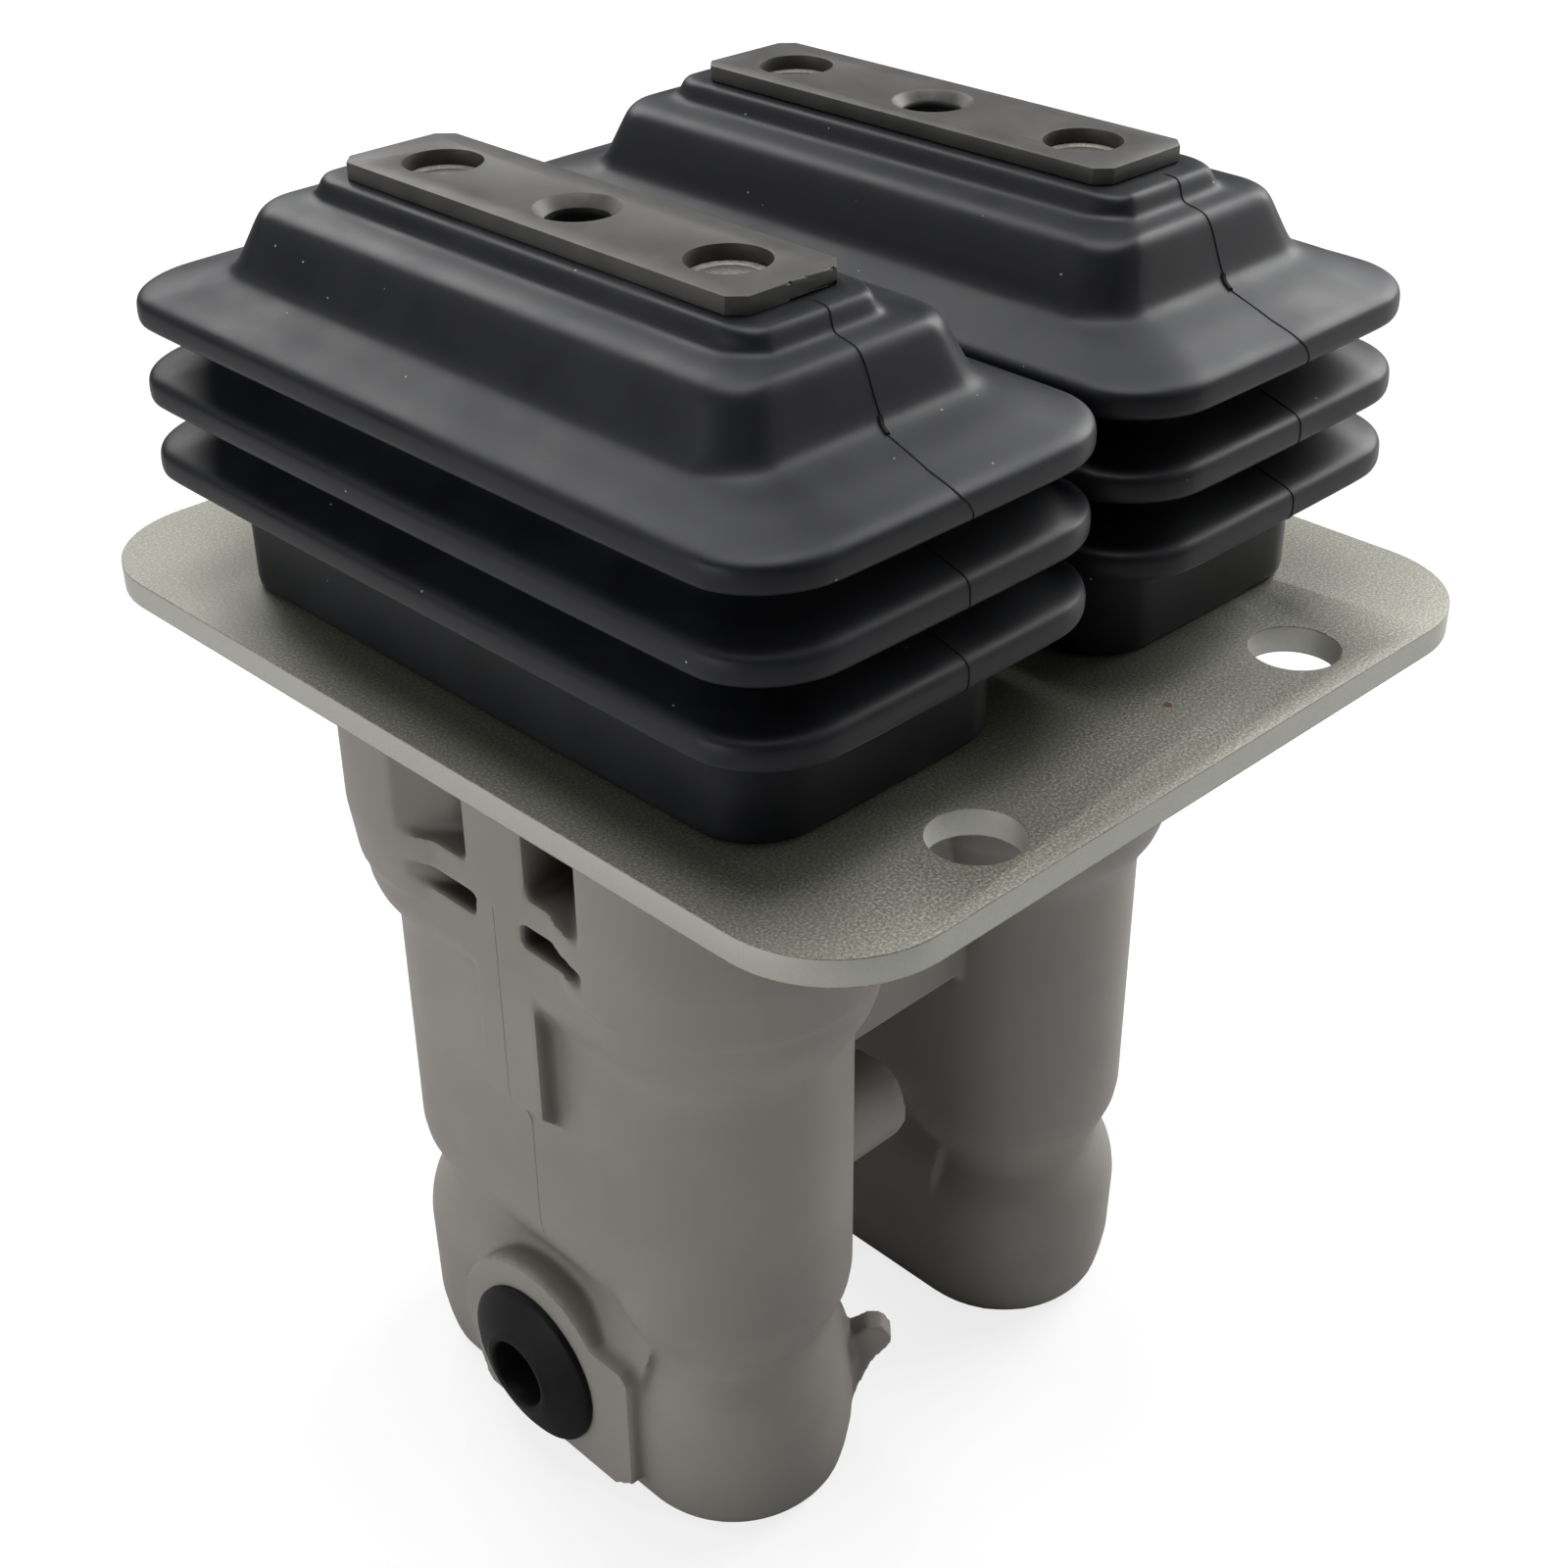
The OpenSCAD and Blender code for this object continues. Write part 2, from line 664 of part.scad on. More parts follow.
module circlip() {
  difference() {
    bar_x(clip_out_r, 0, clip_t);
    bar_x(clip_groove_r + run_fit, -over, clip_t + over);
    block(-over, clip_t + over, -clip_mouth / 2, clip_mouth / 2, -clip_out_r - over, 0);
  }
}

module shaft_circlips() {
  color(spring_colour) for (px = [-leg_x, leg_x]) translate([px, 0, pivot_z])
    for (side = [0, 1]) mirror([side, 0, 0]) translate([clip_at, 0, 0]) circlip();
}

// Rocker that carries the pedal plate and presses the push rods.
module rocker() {
  difference() {
    union() {
      translate([0, 0, pivot_z]) bar_x(hub_r, -hub_half, hub_half);
      block(-arm_w / 2, arm_w / 2, -arm_half_y, arm_half_y, arm_low, arm_high);
      block(-arm_w / 2, arm_w / 2, -pillar_half_y, pillar_half_y, arm_low, bar_low + over);
      slab(bar_low, bar_high, bar_w / 2, bar_len / 2, bar_corner_r);
      slab(bar_low, pedal_z - face_gap, head_w / 2, head_len / 2, 2);
    }
    translate([0, 0, pivot_z]) bar_x(bush_r + 0.02, -hub_half - over, hub_half + over);
    for (sy = [-1, 1]) {
      translate([0, sy * pedal_hole_pitch / 2, 0]) post(pedal_tap_d / 2, bar_low - over, pedal_z + over);
      translate([0, sy * cyl_y, 0]) post(adjuster_r + 0.03, arm_low - over, arm_high + over);
    }
    post(centre_hole_r, pedal_z - centre_hole_deep, pedal_z + over);
  }
}

module left_rocker() { color(steel_colour) translate([-leg_x, 0, 0]) rocker(); }
module right_rocker() { color(steel_colour) translate([leg_x, 0, 0]) rocker(); }

module rocker_bushes() {
  translate([0, 0, pivot_z]) for (side = [0, 1]) mirror([side, 0, 0]) difference() {
    bar_x(bush_r, bush_gap_half, hub_half);
    bar_x(shaft_r + run_fit, 0, hub_half + over);
  }
}

module left_rocker_bushes() { color(bronze_colour) translate([-leg_x, 0, 0]) rocker_bushes(); }
module right_rocker_bushes() { color(bronze_colour) translate([leg_x, 0, 0]) rocker_bushes(); }

module adjusting_screw() {
  dome_z = rod_top_z + adjuster_gap + adjuster_dome_r;
  union() {
    intersection() {
      translate([0, 0, dome_z]) sphere(r = adjuster_dome_r);
      post(adjuster_dome_r + over, rod_top_z, adjuster_head_top);
    }
    hex_post(adjuster_flats, adjuster_head_low, adjuster_head_top);
    post(adjuster_r, adjuster_head_low, adjuster_top);
  }
}

module adjusting_screws() {
  for (sy = [-1, 1]) translate([0, sy * cyl_y, 0]) adjusting_screw();
}

module left_adjusting_screws() { color(dark_steel_colour) translate([-leg_x, 0, 0]) adjusting_screws(); }
module right_adjusting_screws() { color(dark_steel_colour) translate([leg_x, 0, 0]) adjusting_screws(); }

module lock_nuts() {
  for (sy = [-1, 1]) translate([0, sy * cyl_y, 0]) difference() {
    hex_post(nut_flats, arm_high + face_gap, arm_high + face_gap + nut_h);
    post(adjuster_r + run_fit, arm_high - over, arm_high + nut_h + over);
  }
}

module left_lock_nuts() { color(steel_colour) translate([-leg_x, 0, 0]) lock_nuts(); }
module right_lock_nuts() { color(steel_colour) translate([leg_x, 0, 0]) lock_nuts(); }

module pedal_plate() {
  hx = pedal_w / 2;
  hy = pedal_len / 2;
  c = pedal_chamfer;
  outline = [
    [hx, -hy + c], [hx, hy - c], [hx - c, hy], [-hx + c, hy],
    [-hx, hy - c], [-hx, -hy + c], [-hx + c, -hy], [hx - c, -hy]
  ];
  difference() {
    translate([0, 0, pedal_z]) linear_extrude(height = pedal_t) polygon(outline);
    for (sy = [-1, 1]) translate([0, sy * pedal_hole_pitch / 2, 0])
      post(pedal_hole_d / 2, pedal_z - over, pedal_z + pedal_t + over);
    post(centre_hole_r, pedal_z - over, pedal_z + pedal_t + over);
    translate([0, 0, pedal_z + pedal_t - 1.6])
      cylinder(r1 = centre_hole_r, r2 = centre_hole_r + 1.6, h = 1.601);
  }
}

module left_pedal_plate() { color(dark_steel_colour) translate([-leg_x, 0, 0]) pedal_plate(); }
module right_pedal_plate() { color(dark_steel_colour) translate([leg_x, 0, 0]) pedal_plate(); }

module left_boot() { color(rubber_colour) translate([-leg_x, 0, 0]) ring_loft(boot_rings); }
module right_boot() { color(rubber_colour) translate([leg_x, 0, 0]) ring_loft(boot_rings); }

module boot_retainer() {
  difference() {
    slab(frame_low, frame_low + frame_t, frame_x, frame_y, frame_corner);
    slab(frame_low - over, frame_low + frame_t + over, frame_open_x, frame_open_y, frame_open_corner);
    for (sx = [-1, 1]) for (sy = [-1, 1]) translate([sx * frame_screw_x, sy * frame_screw_y, 0])
      post(frame_screw_r + 0.2, 0, frame_low + frame_t + over);
  }
}

module left_boot_retainer() { color(steel_colour) translate([-leg_x, 0, 0]) boot_retainer(); }
module right_boot_retainer() { color(steel_colour) translate([leg_x, 0, 0]) boot_retainer(); }

module retainer_screws() {
  head_low = frame_low + frame_t + face_gap;
  color(steel_colour) for (p = frame_screw_points) translate([p[0], p[1], 0]) difference() {
    union() {
      post(frame_screw_r, frame_screw_end, head_low + over);
      post(frame_screw_head_r, head_low, head_low + frame_screw_head_h);
    }
    hex_post(2.5, head_low + 1, head_low + frame_screw_head_h + over);
  }
}

// Moving pieces inside one cylinder.
module push_rod() {
  color(steel_colour) union() {
    post(rod_r, piston_top, rod_top_z - 0.6);
    post(rod_r - 0.6, piston_top, rod_top_z);
    post(stem_r, rod_bottom, piston_top + over);
  }
}

module damping_piston() {
  color(steel_colour) difference() {
    post(piston_d / 2, piston_bottom, piston_top - spring_gap);
    post(stem_r + run_fit, piston_bottom - over, piston_top + over);
    for (a = [0, 180]) rotate([0, 0, a]) translate([bleed_at, 0, 0])
      post(bleed_r, piston_bottom - over, piston_top + over);
  }
}

module spring_seat() {
  color(steel_colour) difference() {
    union() {
      post(seat_r, seat_shelf, seat_top);
      post(seat_boss_r, seat_bottom, seat_top);
    }
    post(stem_r + run_fit, rod_bottom - face_gap, seat_top + over);
  }
}

module spool() {
  color(steel_colour) difference() {
    union() {
      post(nose_r, shoulder_top - over, nose_top);
      post(shoulder_r, shoulder_top - shoulder_t, shoulder_top);
      post(spool_neck_r, land_top - over, shoulder_top);
      post(spool_r, spool_bottom, land_top);
    }
    for (z = spool_grooves) difference() {
      post(spool_r + over, z - spool_groove_w, z);
      post(groove_r, z - spool_groove_w - over, z + over);
    }
    post(spool_drill_r, spool_bottom - over, spool_drill_top);
  }
}

module return_spring() {
  color(spring_colour)
    coil(return_mean_r, return_wire_r, chamber_floor + spring_gap, seat_shelf - spring_gap, return_turns);
}

module metering_spring() {
  color(spring_colour)
    coil(metering_mean_r, metering_wire_r, shoulder_top + spring_gap, seat_bottom - spring_gap, metering_turns);
}

module damping_spring() {
  color(spring_colour)
    coil(damping_mean_r, damping_wire_r, damping_floor + spring_gap, piston_bottom - spring_gap, damping_turns);
}

module at_corner(i) { translate([corners[i][0], corners[i][1], 0]) children(); }

module left_front_push_rod() { at_corner(0) push_rod(); }
module left_rear_push_rod() { at_corner(1) push_rod(); }
module right_front_push_rod() { at_corner(2) push_rod(); }
module right_rear_push_rod() { at_corner(3) push_rod(); }
module left_front_damping_piston() { at_corner(0) damping_piston(); }
module left_rear_damping_piston() { at_corner(1) damping_piston(); }
module right_front_damping_piston() { at_corner(2) damping_piston(); }
module right_rear_damping_piston() { at_corner(3) damping_piston(); }
module left_front_spring_seat() { at_corner(0) spring_seat(); }
module left_rear_spring_seat() { at_corner(1) spring_seat(); }
module right_front_spring_seat() { at_corner(2) spring_seat(); }
module right_rear_spring_seat() { at_corner(3) spring_seat(); }
module left_front_spool() { at_corner(0) spool(); }
module left_rear_spool() { at_corner(1) spool(); }
module right_front_spool() { at_corner(2) spool(); }
module right_rear_spool() { at_corner(3) spool(); }
module left_front_return_spring() { at_corner(0) return_spring(); }
module left_rear_return_spring() { at_corner(1) return_spring(); }
module right_front_return_spring() { at_corner(2) return_spring(); }
module right_rear_return_spring() { at_corner(3) return_spring(); }
module left_front_metering_spring() { at_corner(0) metering_spring(); }
module left_rear_metering_spring() { at_corner(1) metering_spring(); }
module right_front_metering_spring() { at_corner(2) metering_spring(); }
module right_rear_metering_spring() { at_corner(3) metering_spring(); }
module left_front_damping_spring() { at_corner(0) damping_spring(); }
module left_rear_damping_spring() { at_corner(1) damping_spring(); }
module right_front_damping_spring() { at_corner(2) damping_spring(); }
module right_rear_damping_spring() { at_corner(3) damping_spring(); }

valve_body();
mounting_plate();
port_plugs();
guide_plugs();
wiper_seals();
plug_o_rings();
left_pivot_bracket();
right_pivot_bracket();
bracket_screws();
left_pivot_shaft();
right_pivot_shaft();
shaft_circlips();
left_rocker();
right_rocker();
left_rocker_bushes();
right_rocker_bushes();
left_adjusting_screws();
right_adjusting_screws();
left_lock_nuts();
right_lock_nuts();
left_pedal_plate();
right_pedal_plate();
left_boot();
right_boot();
left_boot_retainer();
right_boot_retainer();
retainer_screws();
left_front_push_rod();
left_rear_push_rod();
right_front_push_rod();
right_rear_push_rod();
left_front_damping_piston();
left_rear_damping_piston();
right_front_damping_piston();
right_rear_damping_piston();
left_front_spring_seat();
left_rear_spring_seat();
right_front_spring_seat();
right_rear_spring_seat();
left_front_spool();
left_rear_spool();
right_front_spool();
right_rear_spool();
left_front_return_spring();
left_rear_return_spring();
right_front_return_spring();
right_rear_return_spring();
left_front_metering_spring();
left_rear_metering_spring();
right_front_metering_spring();
right_rear_metering_spring();
left_front_damping_spring();
left_rear_damping_spring();
right_front_damping_spring();
right_rear_damping_spring();
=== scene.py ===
"""A double foot pedal valve: two rubber boots on a floor plate over a twin-leg casting."""

import json
import math

import bmesh
import bpy
import numpy as np
from mathutils import Matrix, Vector


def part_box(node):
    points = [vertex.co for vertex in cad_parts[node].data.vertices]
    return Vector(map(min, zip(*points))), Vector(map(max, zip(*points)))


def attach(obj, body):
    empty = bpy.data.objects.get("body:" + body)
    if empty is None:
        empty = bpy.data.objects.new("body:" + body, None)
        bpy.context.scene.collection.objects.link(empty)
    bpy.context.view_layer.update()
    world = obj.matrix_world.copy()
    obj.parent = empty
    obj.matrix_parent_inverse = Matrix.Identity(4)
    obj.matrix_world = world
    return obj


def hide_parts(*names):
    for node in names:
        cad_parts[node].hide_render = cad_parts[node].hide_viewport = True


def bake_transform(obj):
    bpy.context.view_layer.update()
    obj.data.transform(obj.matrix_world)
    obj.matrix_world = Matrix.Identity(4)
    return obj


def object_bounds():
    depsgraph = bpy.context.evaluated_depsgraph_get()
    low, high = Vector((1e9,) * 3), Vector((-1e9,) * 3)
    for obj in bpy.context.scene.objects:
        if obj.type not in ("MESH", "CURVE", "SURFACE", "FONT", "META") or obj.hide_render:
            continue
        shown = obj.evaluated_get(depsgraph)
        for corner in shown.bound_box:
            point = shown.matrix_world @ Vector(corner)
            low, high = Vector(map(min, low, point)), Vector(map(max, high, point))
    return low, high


bl_info = {
    "name": "Foot Pedal Valve",
    "version": (1, 0, 0),
    "blender": (4, 5, 0),
    "location": "3D View > Sidebar > Pedal Valve",
    "description": "Builds the look of a double foot pedal valve round its CAD frame",
    "category": "Object",
}

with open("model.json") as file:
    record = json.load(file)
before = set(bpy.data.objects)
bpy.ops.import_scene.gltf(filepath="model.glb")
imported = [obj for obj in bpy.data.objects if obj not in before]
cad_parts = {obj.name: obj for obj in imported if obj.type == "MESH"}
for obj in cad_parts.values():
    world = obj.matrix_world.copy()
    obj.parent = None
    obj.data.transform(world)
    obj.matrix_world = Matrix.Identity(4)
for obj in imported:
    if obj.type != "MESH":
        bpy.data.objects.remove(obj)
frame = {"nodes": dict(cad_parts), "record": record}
CAD_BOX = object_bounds()

MM = 0.001
PLATE_LOW, PLATE_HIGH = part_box("mounting_plate")
BODY_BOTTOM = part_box("valve_body")[0][2]
BOOT_LOW, BOOT_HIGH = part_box("right_boot")
LEG_X = (BOOT_LOW[0] + BOOT_HIGH[0]) / 2
ROD_LOW, ROD_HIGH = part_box("right_rear_push_rod")
CYLINDER_Y = (ROD_LOW[1] + ROD_HIGH[1]) / 2
PLUGS_LOW, PLUGS_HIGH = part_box("port_plugs")
SIDE_PORT_Z = (PLUGS_LOW[2] + PLUGS_HIGH[2]) / 2
SIDES = {"left": -LEG_X, "right": LEG_X}


def lip_rings(low):
    """Rings of one blunt lip of the bellows above the height of its lower edge."""
    return (
        (low - 2.3, 28.2, 62.6), (low - 1.2, 31, 66.8), (low - 0.5, 33, 69.2), (low - 0.05, 34.5, 70.8),
        (low + 0.5, 35.15, 71.45), (low + 1.3, 35.28, 71.58), (low + 3.2, 35.25, 71.55),
        (low + 4.1, 34.95, 71.25), (low + 4.7, 34.1, 70.4), (low + 5.15, 32.9, 69.2),
        (low + 6.1, 30.5, 65.9), (low + 7.2, 28.2, 62.6),
    )


def lip_hollow(low):
    """Rings of the hollow inside one lip, from the top down."""
    return (
        (low + 5.4, 24.9, 59.3), (low + 3.6, 29.8, 65.6), (low + 2.9, 31.1, 67.1),
        (low + 1.7, 31.1, 67.1), (low + 0.8, 29.8, 65.6), (low - 2, 25.3, 59.8),
    )


# Rings up the outside of a boot and down its inside, in millimetres: height, half width, half length.
LIPS = (23.6, 35.6, 48)
BELLOWS_OUTSIDE = (
    (4.6, 26.45, 60.45), (5.6, 26.45, 60.45), (14, 26.45, 60.45), (17.6, 26.5, 60.5), (19.4, 26.8, 60.9),
    (20.6, 27.4, 61.7),
    *lip_rings(LIPS[0]), (31.6, 27.4, 61.7), (32.05, 27.2, 61.5), (32.6, 27.4, 61.7),
    *lip_rings(LIPS[1]), (43.7, 27.4, 61.7), (44.25, 27.2, 61.5), (44.9, 27.4, 61.7),
    *lip_rings(LIPS[2]), (56.2, 25.8, 58.1),
)
BLOCK_OUTSIDE = (
    (56.9, 24.9, 56.4), (57.8, 24.3, 55.7), (59.4, 23.6, 55), (62.2, 22.3, 54), (64.3, 21.3, 53.3),
    (65.4, 20.5, 52.7), (66.1, 19.1, 51.9), (66.4, 17, 50.6), (66.6, 14.8, 49.1), (66.9, 13.7, 48),
    (67.6, 13.2, 47.5), (68.9, 12.7, 47), (69.6, 12.2, 46.5), (69.88, 11.4, 45.6), (69.92, 9.8, 43.8),
    (69.92, 7.2, 38.2),
)
BLOCK_INSIDE = (
    (66.1, 7.2, 38.2), (66.1, 12.2, 44.2), (64.4, 12.9, 46.2), (63.7, 16.6, 49.8), (62.1, 18.8, 50.9),
    (57.1, 22, 53), (54.8, 22.9, 53.9),
)
BELLOWS_INSIDE = (
    *lip_hollow(LIPS[2]), (44.2, 24.9, 59.3), *lip_hollow(LIPS[1]), (32.1, 24.9, 59.3), *lip_hollow(LIPS[0]),
    (19.6, 24.4, 58.4), (17.5, 23.6, 57.6), (6.15, 23.6, 57.6), (6.15, 20.3, 54.4), (4.6, 20.3, 54.4),
)
# The middle of the mould's parting line: height and distance from the middle plane of the boot.
PARTING_WANDER = (
    (20, 1.6), (26, 2.4), (38, 1.9), (50, 2), (52.4, -0.3), (54.6, -0.4), (56.3, 0.5), (57.5, 1.7), (62, 1.5),
    (66, 1.1), (70, 1.8),
)
# A port plug from the end of its shank to its cap and down into its hub: height over the boss face, radius.
PLUG_PROFILE = (
    (-8, 8.3), (-7.5, 8.95), (-0.02, 8.95), (0, 14.95), (0.15, 15.2), (1, 15.2), (1.25, 15), (1.9, 13.9),
    (2.6, 12.4), (3.3, 10.7), (3.85, 9.3), (4.15, 8.5), (4.4, 8), (4.58, 7.6), (4.6, 6.9), (4.48, 6.55),
    (4, 6.35), (-2, 5.9), (-4.3, 5.8),
)
PLUG_CAP = 4.6
# The bare chamfered rim of a tapped pedal hole: height, radius.
TAP_RIM = ((0.02, 4.7), (0.02, 5.85), (0.25, 5.85), (0.3, 5.6), (0.04, 4.7))
# Share of a rod's way that its spool makes.
SPOOL_SHARE = 0.0064 / 0.0254
# Knocks on the left pedal plate's front edge: middle and size in millimetres, turn in degrees.
KNOCKS = (
    ((-32.4, -42.08, 72.53), (9.6, 0.3, 0.3), (45, 0.5, 0.5)),
    ((-37, -42.12, 72.45), (1.1, 0.5, 0.6), (20, 0, 25)),
    ((-33.9, -42.12, 72.52), (0.7, 0.4, 0.5), (40, 0, -20)),
    ((-32.6, -42.3, 70.15), (8.8, 1.4, 0.8), (-6, -2, 1)),
    ((-29.2, -42.12, 72.47), (0.8, 0.4, 0.6), (30, 10, 15)),
)
# The bright sliver that the lowest knock has bared, told the same way.
SLIVER = ((-32.8, -41.8, 70.34), (5.6, 0.3, 0.12), (10, 2, 1))
# Soft studio lamps: name, place in metres, width in metres, share of the overhead lamp's power.
LAMPS = (
    ("overhead", (0.1, 0.1, 1.5), 1.2, 1.0), ("right", (1.2, -0.1, 0.7), 1.0, 0.95),
    ("back", (0.3, 1.2, 0.9), 1.0, 0.53), ("low_left", (-1.3, 0.15, 0.1), 1.0, 0.37),
    ("low_right", (1.25, -0.6, 0.1), 1.0, 0.16), ("left_back", (-0.9, 0.9, 0.8), 1.0, 0.11),
    ("front", (0.35, -1.2, 0.8), 1.0, 0.06),
)
WORLD_LIGHT = 0.06
# The photo's camera: turn about the valve, height angle and roll in degrees, place in millimetres.
CAMERA_ANGLES = (-44.472, 31.96, -0.516)
CAMERA_PLACE = (-235.59, -242.52, 174.08)
SENSOR = 36
FLOOR_SIZE = 8
# Share of the floor's look that is plain white to the camera.
WHITE_SHARE = 0.8
# Corner radii of the boots' rings, outside and inside, in millimetres, and the steps round each corner.
BELLOWS_CORNER = 11
BLOCK_CORNER = 8.5
BLOCK_HOLLOW_CORNER = 2.5
BELLOWS_HOLLOW_CORNER = 9
CORNER_STEPS = 7
# Flash on the boots: radius of the line and of its drop, and the heights each runs between, in millimetres.
PARTING_LINE = (0.13, 20, 70)
PARTING_DROP = (0.42, 55.9, 57.9)
# The seam on each leg, in millimetres: radius of its bead, distance from the leg's middle, place along the
# leg's width, and the heights of its points.
SEAM_RADIUS = 0.09
SEAM_OUT = 25
SEAM_Y = -0.3
SEAM_HEIGHTS = range(-32, -106, -6)
# Fillers inside the casting's skin, in millimetres. Block between the legs: half length, bottom and top.
BLOCK_FILL = (29.9, -70.4, -0.05)
# Guide bores: radius, bottom and top. Spool bores: radius and top, and how far they start over the end face.
GUIDE_FILL = (16.3, -60, -0.05)
SPOOL_FILL = (11.3, -50)
END_GAP = 0.02
# Web of each leg: half width, bottom and top. Side port bores: radius, and how far they end under the face.
WEB_FILL = (12, -142, -36)
SIDE_PORT_FILL = 10.5
FILL_GAP = 0.05
# Corners in metres of the box that cuts the casting flat under the mounting plate.
TRIM = ((-0.1, -0.1, 0), (0.1, 0.1, 0.05))
# The casting's machined holes in millimetres: radii of the working port, its mouth and the side port.
PORT_RADIUS, MOUTH_RADIUS, SIDE_PORT_RADIUS = 5.9, 7.2, 9.3
MOUTH_DEEP = 0.9
SIDE_PORT_DEEP = 11
# How far the cutting tools reach out of the metal, in millimetres.
PORT_TOOL_OUT = 5
SIDE_TOOL_OUT = 8
# Tapped pedal holes, M10, in millimetres: distance from the middle, top of the thread, core radius, pitch and
# turns, and height of the bare rim.
TAPPED_Y = 30
THREAD_TOP = 69.4
THREAD_CORE, THREAD_PITCH, THREAD_TURNS = 4.25, 1.5, 4
RIM_Z = 70


# Small helpers for objects.


def clear_selection():
    """Leaves any edit mode and selects nothing."""
    if bpy.context.mode != "OBJECT":
        bpy.ops.object.mode_set(mode="OBJECT")
    bpy.ops.object.select_all(action="DESELECT")


def pick(*objects):
    """Selects these objects alone and makes the first one active."""
    clear_selection()
    for o in objects:
        o.select_set(True)
    bpy.context.view_layer.objects.active = objects[0]


def newest(name):
    """The object that the last primitive made, under its own name."""
    o = bpy.context.active_object
    o.name = name
    o.data.name = name
    return o


def bake_place():
    """Puts the selected objects' place, turn and size into their meshes."""
    bpy.ops.object.transform_apply(location=True, rotation=True, scale=True)


def to_metres(values):
    return [v * MM for v in values]


def apply_modifier(obj, kind, **settings):
    """Adds a modifier, sets it and applies it."""
    pick(obj)
    m = obj.modifiers.new(kind.title(), kind)
    for key, value in settings.items():
        setattr(m, key, value)
    bpy.ops.object.modifier_apply(modifier=m.name)


def cut(obj, tool, operation="DIFFERENCE"):
    """Cuts or joins a tool solid and deletes the tool."""
    apply_modifier(obj, "BOOLEAN", object=tool, operation=operation, solver="EXACT")
    bpy.data.objects.remove(tool, do_unlink=True)


def twin(obj, name):
    """A copy with a mesh of its own."""
    pick(obj)
    bpy.ops.object.duplicate()
    return newest(name)


def copy_of_node(node, name):
    """A copy of a CAD node with its loose triangles merged into faces."""
    source = frame["nodes"][node]
    clear_selection()
    mesh = source.data.copy()
    obj = bpy.data.objects.new(name, mesh)
    mesh.name = name
    bpy.context.scene.collection.objects.link(obj)
    mesh.materials.clear()
    pick(obj)
    bpy.ops.object.mode_set(mode="EDIT")
    bpy.ops.mesh.select_all(action="SELECT")
    bpy.ops.mesh.customdata_custom_splitnormals_clear()
    bpy.ops.mesh.remove_doubles(threshold=2e-6)
    bpy.ops.mesh.dissolve_limited(angle_limit=math.radians(1))
    bpy.ops.object.mode_set(mode="OBJECT")
    return obj


def drum(name, r, z_low, z_high, x=0.0, y=0.0, axis="Z", sides=64):
    """A cylinder between two places along an axis, as a tool or a start."""
    depth = z_high - z_low
    middle = (z_low + z_high) / 2
    turn = {"Z": (0, 0, 0), "X": (0, math.pi / 2, 0)}[axis]
    place = (x, y, middle) if axis == "Z" else (middle, x, y)
    clear_selection()
    bpy.ops.mesh.primitive_cylinder_add(vertices=sides, radius=r, depth=depth, location=place, rotation=turn)
    bake_place()
    return newest(name)


def brick(name, low, high):
    """A box between two corners, as a tool."""
    clear_selection()
    size = [b - a for a, b in zip(low, high)]
    bpy.ops.mesh.primitive_cube_add(size=1, location=[(a + b) / 2 for a, b in zip(low, high)], scale=size)
    bake_place()
    return newest(name)


def tilted_brick(name, middle, size, turn):
    """A turned box round a point, as a tool. Sizes in millimetres, turns in degrees."""
    clear_selection()
    bpy.ops.mesh.primitive_cube_add(size=1, location=to_metres(middle), scale=to_metres(size),
                                    rotation=[math.radians(v) for v in turn])
    bake_place()
    return newest(name)


def turned(name, profile, sides=96):
    """A closed body turned about the Z axis from (height, radius) steps in millimetres."""
    clear_selection()
    bpy.ops.mesh.primitive_circle_add(vertices=sides, radius=profile[0][1] * MM, fill_type="NGON",
                                      location=(0, 0, profile[0][0] * MM))
    body = newest(name)
    bake_place()
    bpy.ops.object.mode_set(mode="EDIT")
    bpy.ops.mesh.select_all(action="SELECT")
    for (low, near), (high, far) in zip(profile, profile[1:]):
        bpy.ops.mesh.extrude_region_move(TRANSFORM_OT_translate={"value": (0, 0, (high - low) * MM)})
        bpy.ops.transform.resize(value=(far / near, far / near, 1), center_override=(0, 0, high * MM))
    bpy.ops.mesh.select_all(action="SELECT")
    bpy.ops.mesh.normals_make_consistent(inside=False)
    bpy.ops.object.mode_set(mode="OBJECT")
    return body


def thread_ridge(name, top):
    """The ridge of a tapped thread inside a hole, swept down it from a small triangle at its top."""
    clear_selection()
    mesh = bpy.data.meshes.new(name)
    root, crest, half = THREAD_CORE + 0.05, THREAD_CORE - 0.5, 0.38 * THREAD_PITCH
    corners = [to_metres(p) for p in ((root, 0, -half), (crest, 0, 0), (root, 0, half))]
    mesh.from_pydata(corners, [(0, 1), (1, 2), (2, 0)], [])
    ridge = bpy.data.objects.new(name, mesh)
    bpy.context.scene.collection.objects.link(ridge)
    apply_modifier(ridge, "SCREW", screw_offset=-THREAD_PITCH * MM, iterations=THREAD_TURNS, steps=40,
                   render_steps=40)
    pick(ridge)
    ridge.location = top
    bake_place()
    bpy.ops.object.mode_set(mode="EDIT")
    bpy.ops.mesh.select_all(action="SELECT")
    bpy.ops.mesh.normals_make_consistent(inside=False)
    bpy.ops.object.mode_set(mode="OBJECT")
    return ridge


def smooth(obj, degrees):
    """Shades an object smooth but for edges sharper than this angle."""
    pick(obj)
    bpy.ops.object.shade_smooth_by_angle(angle=math.radians(degrees))


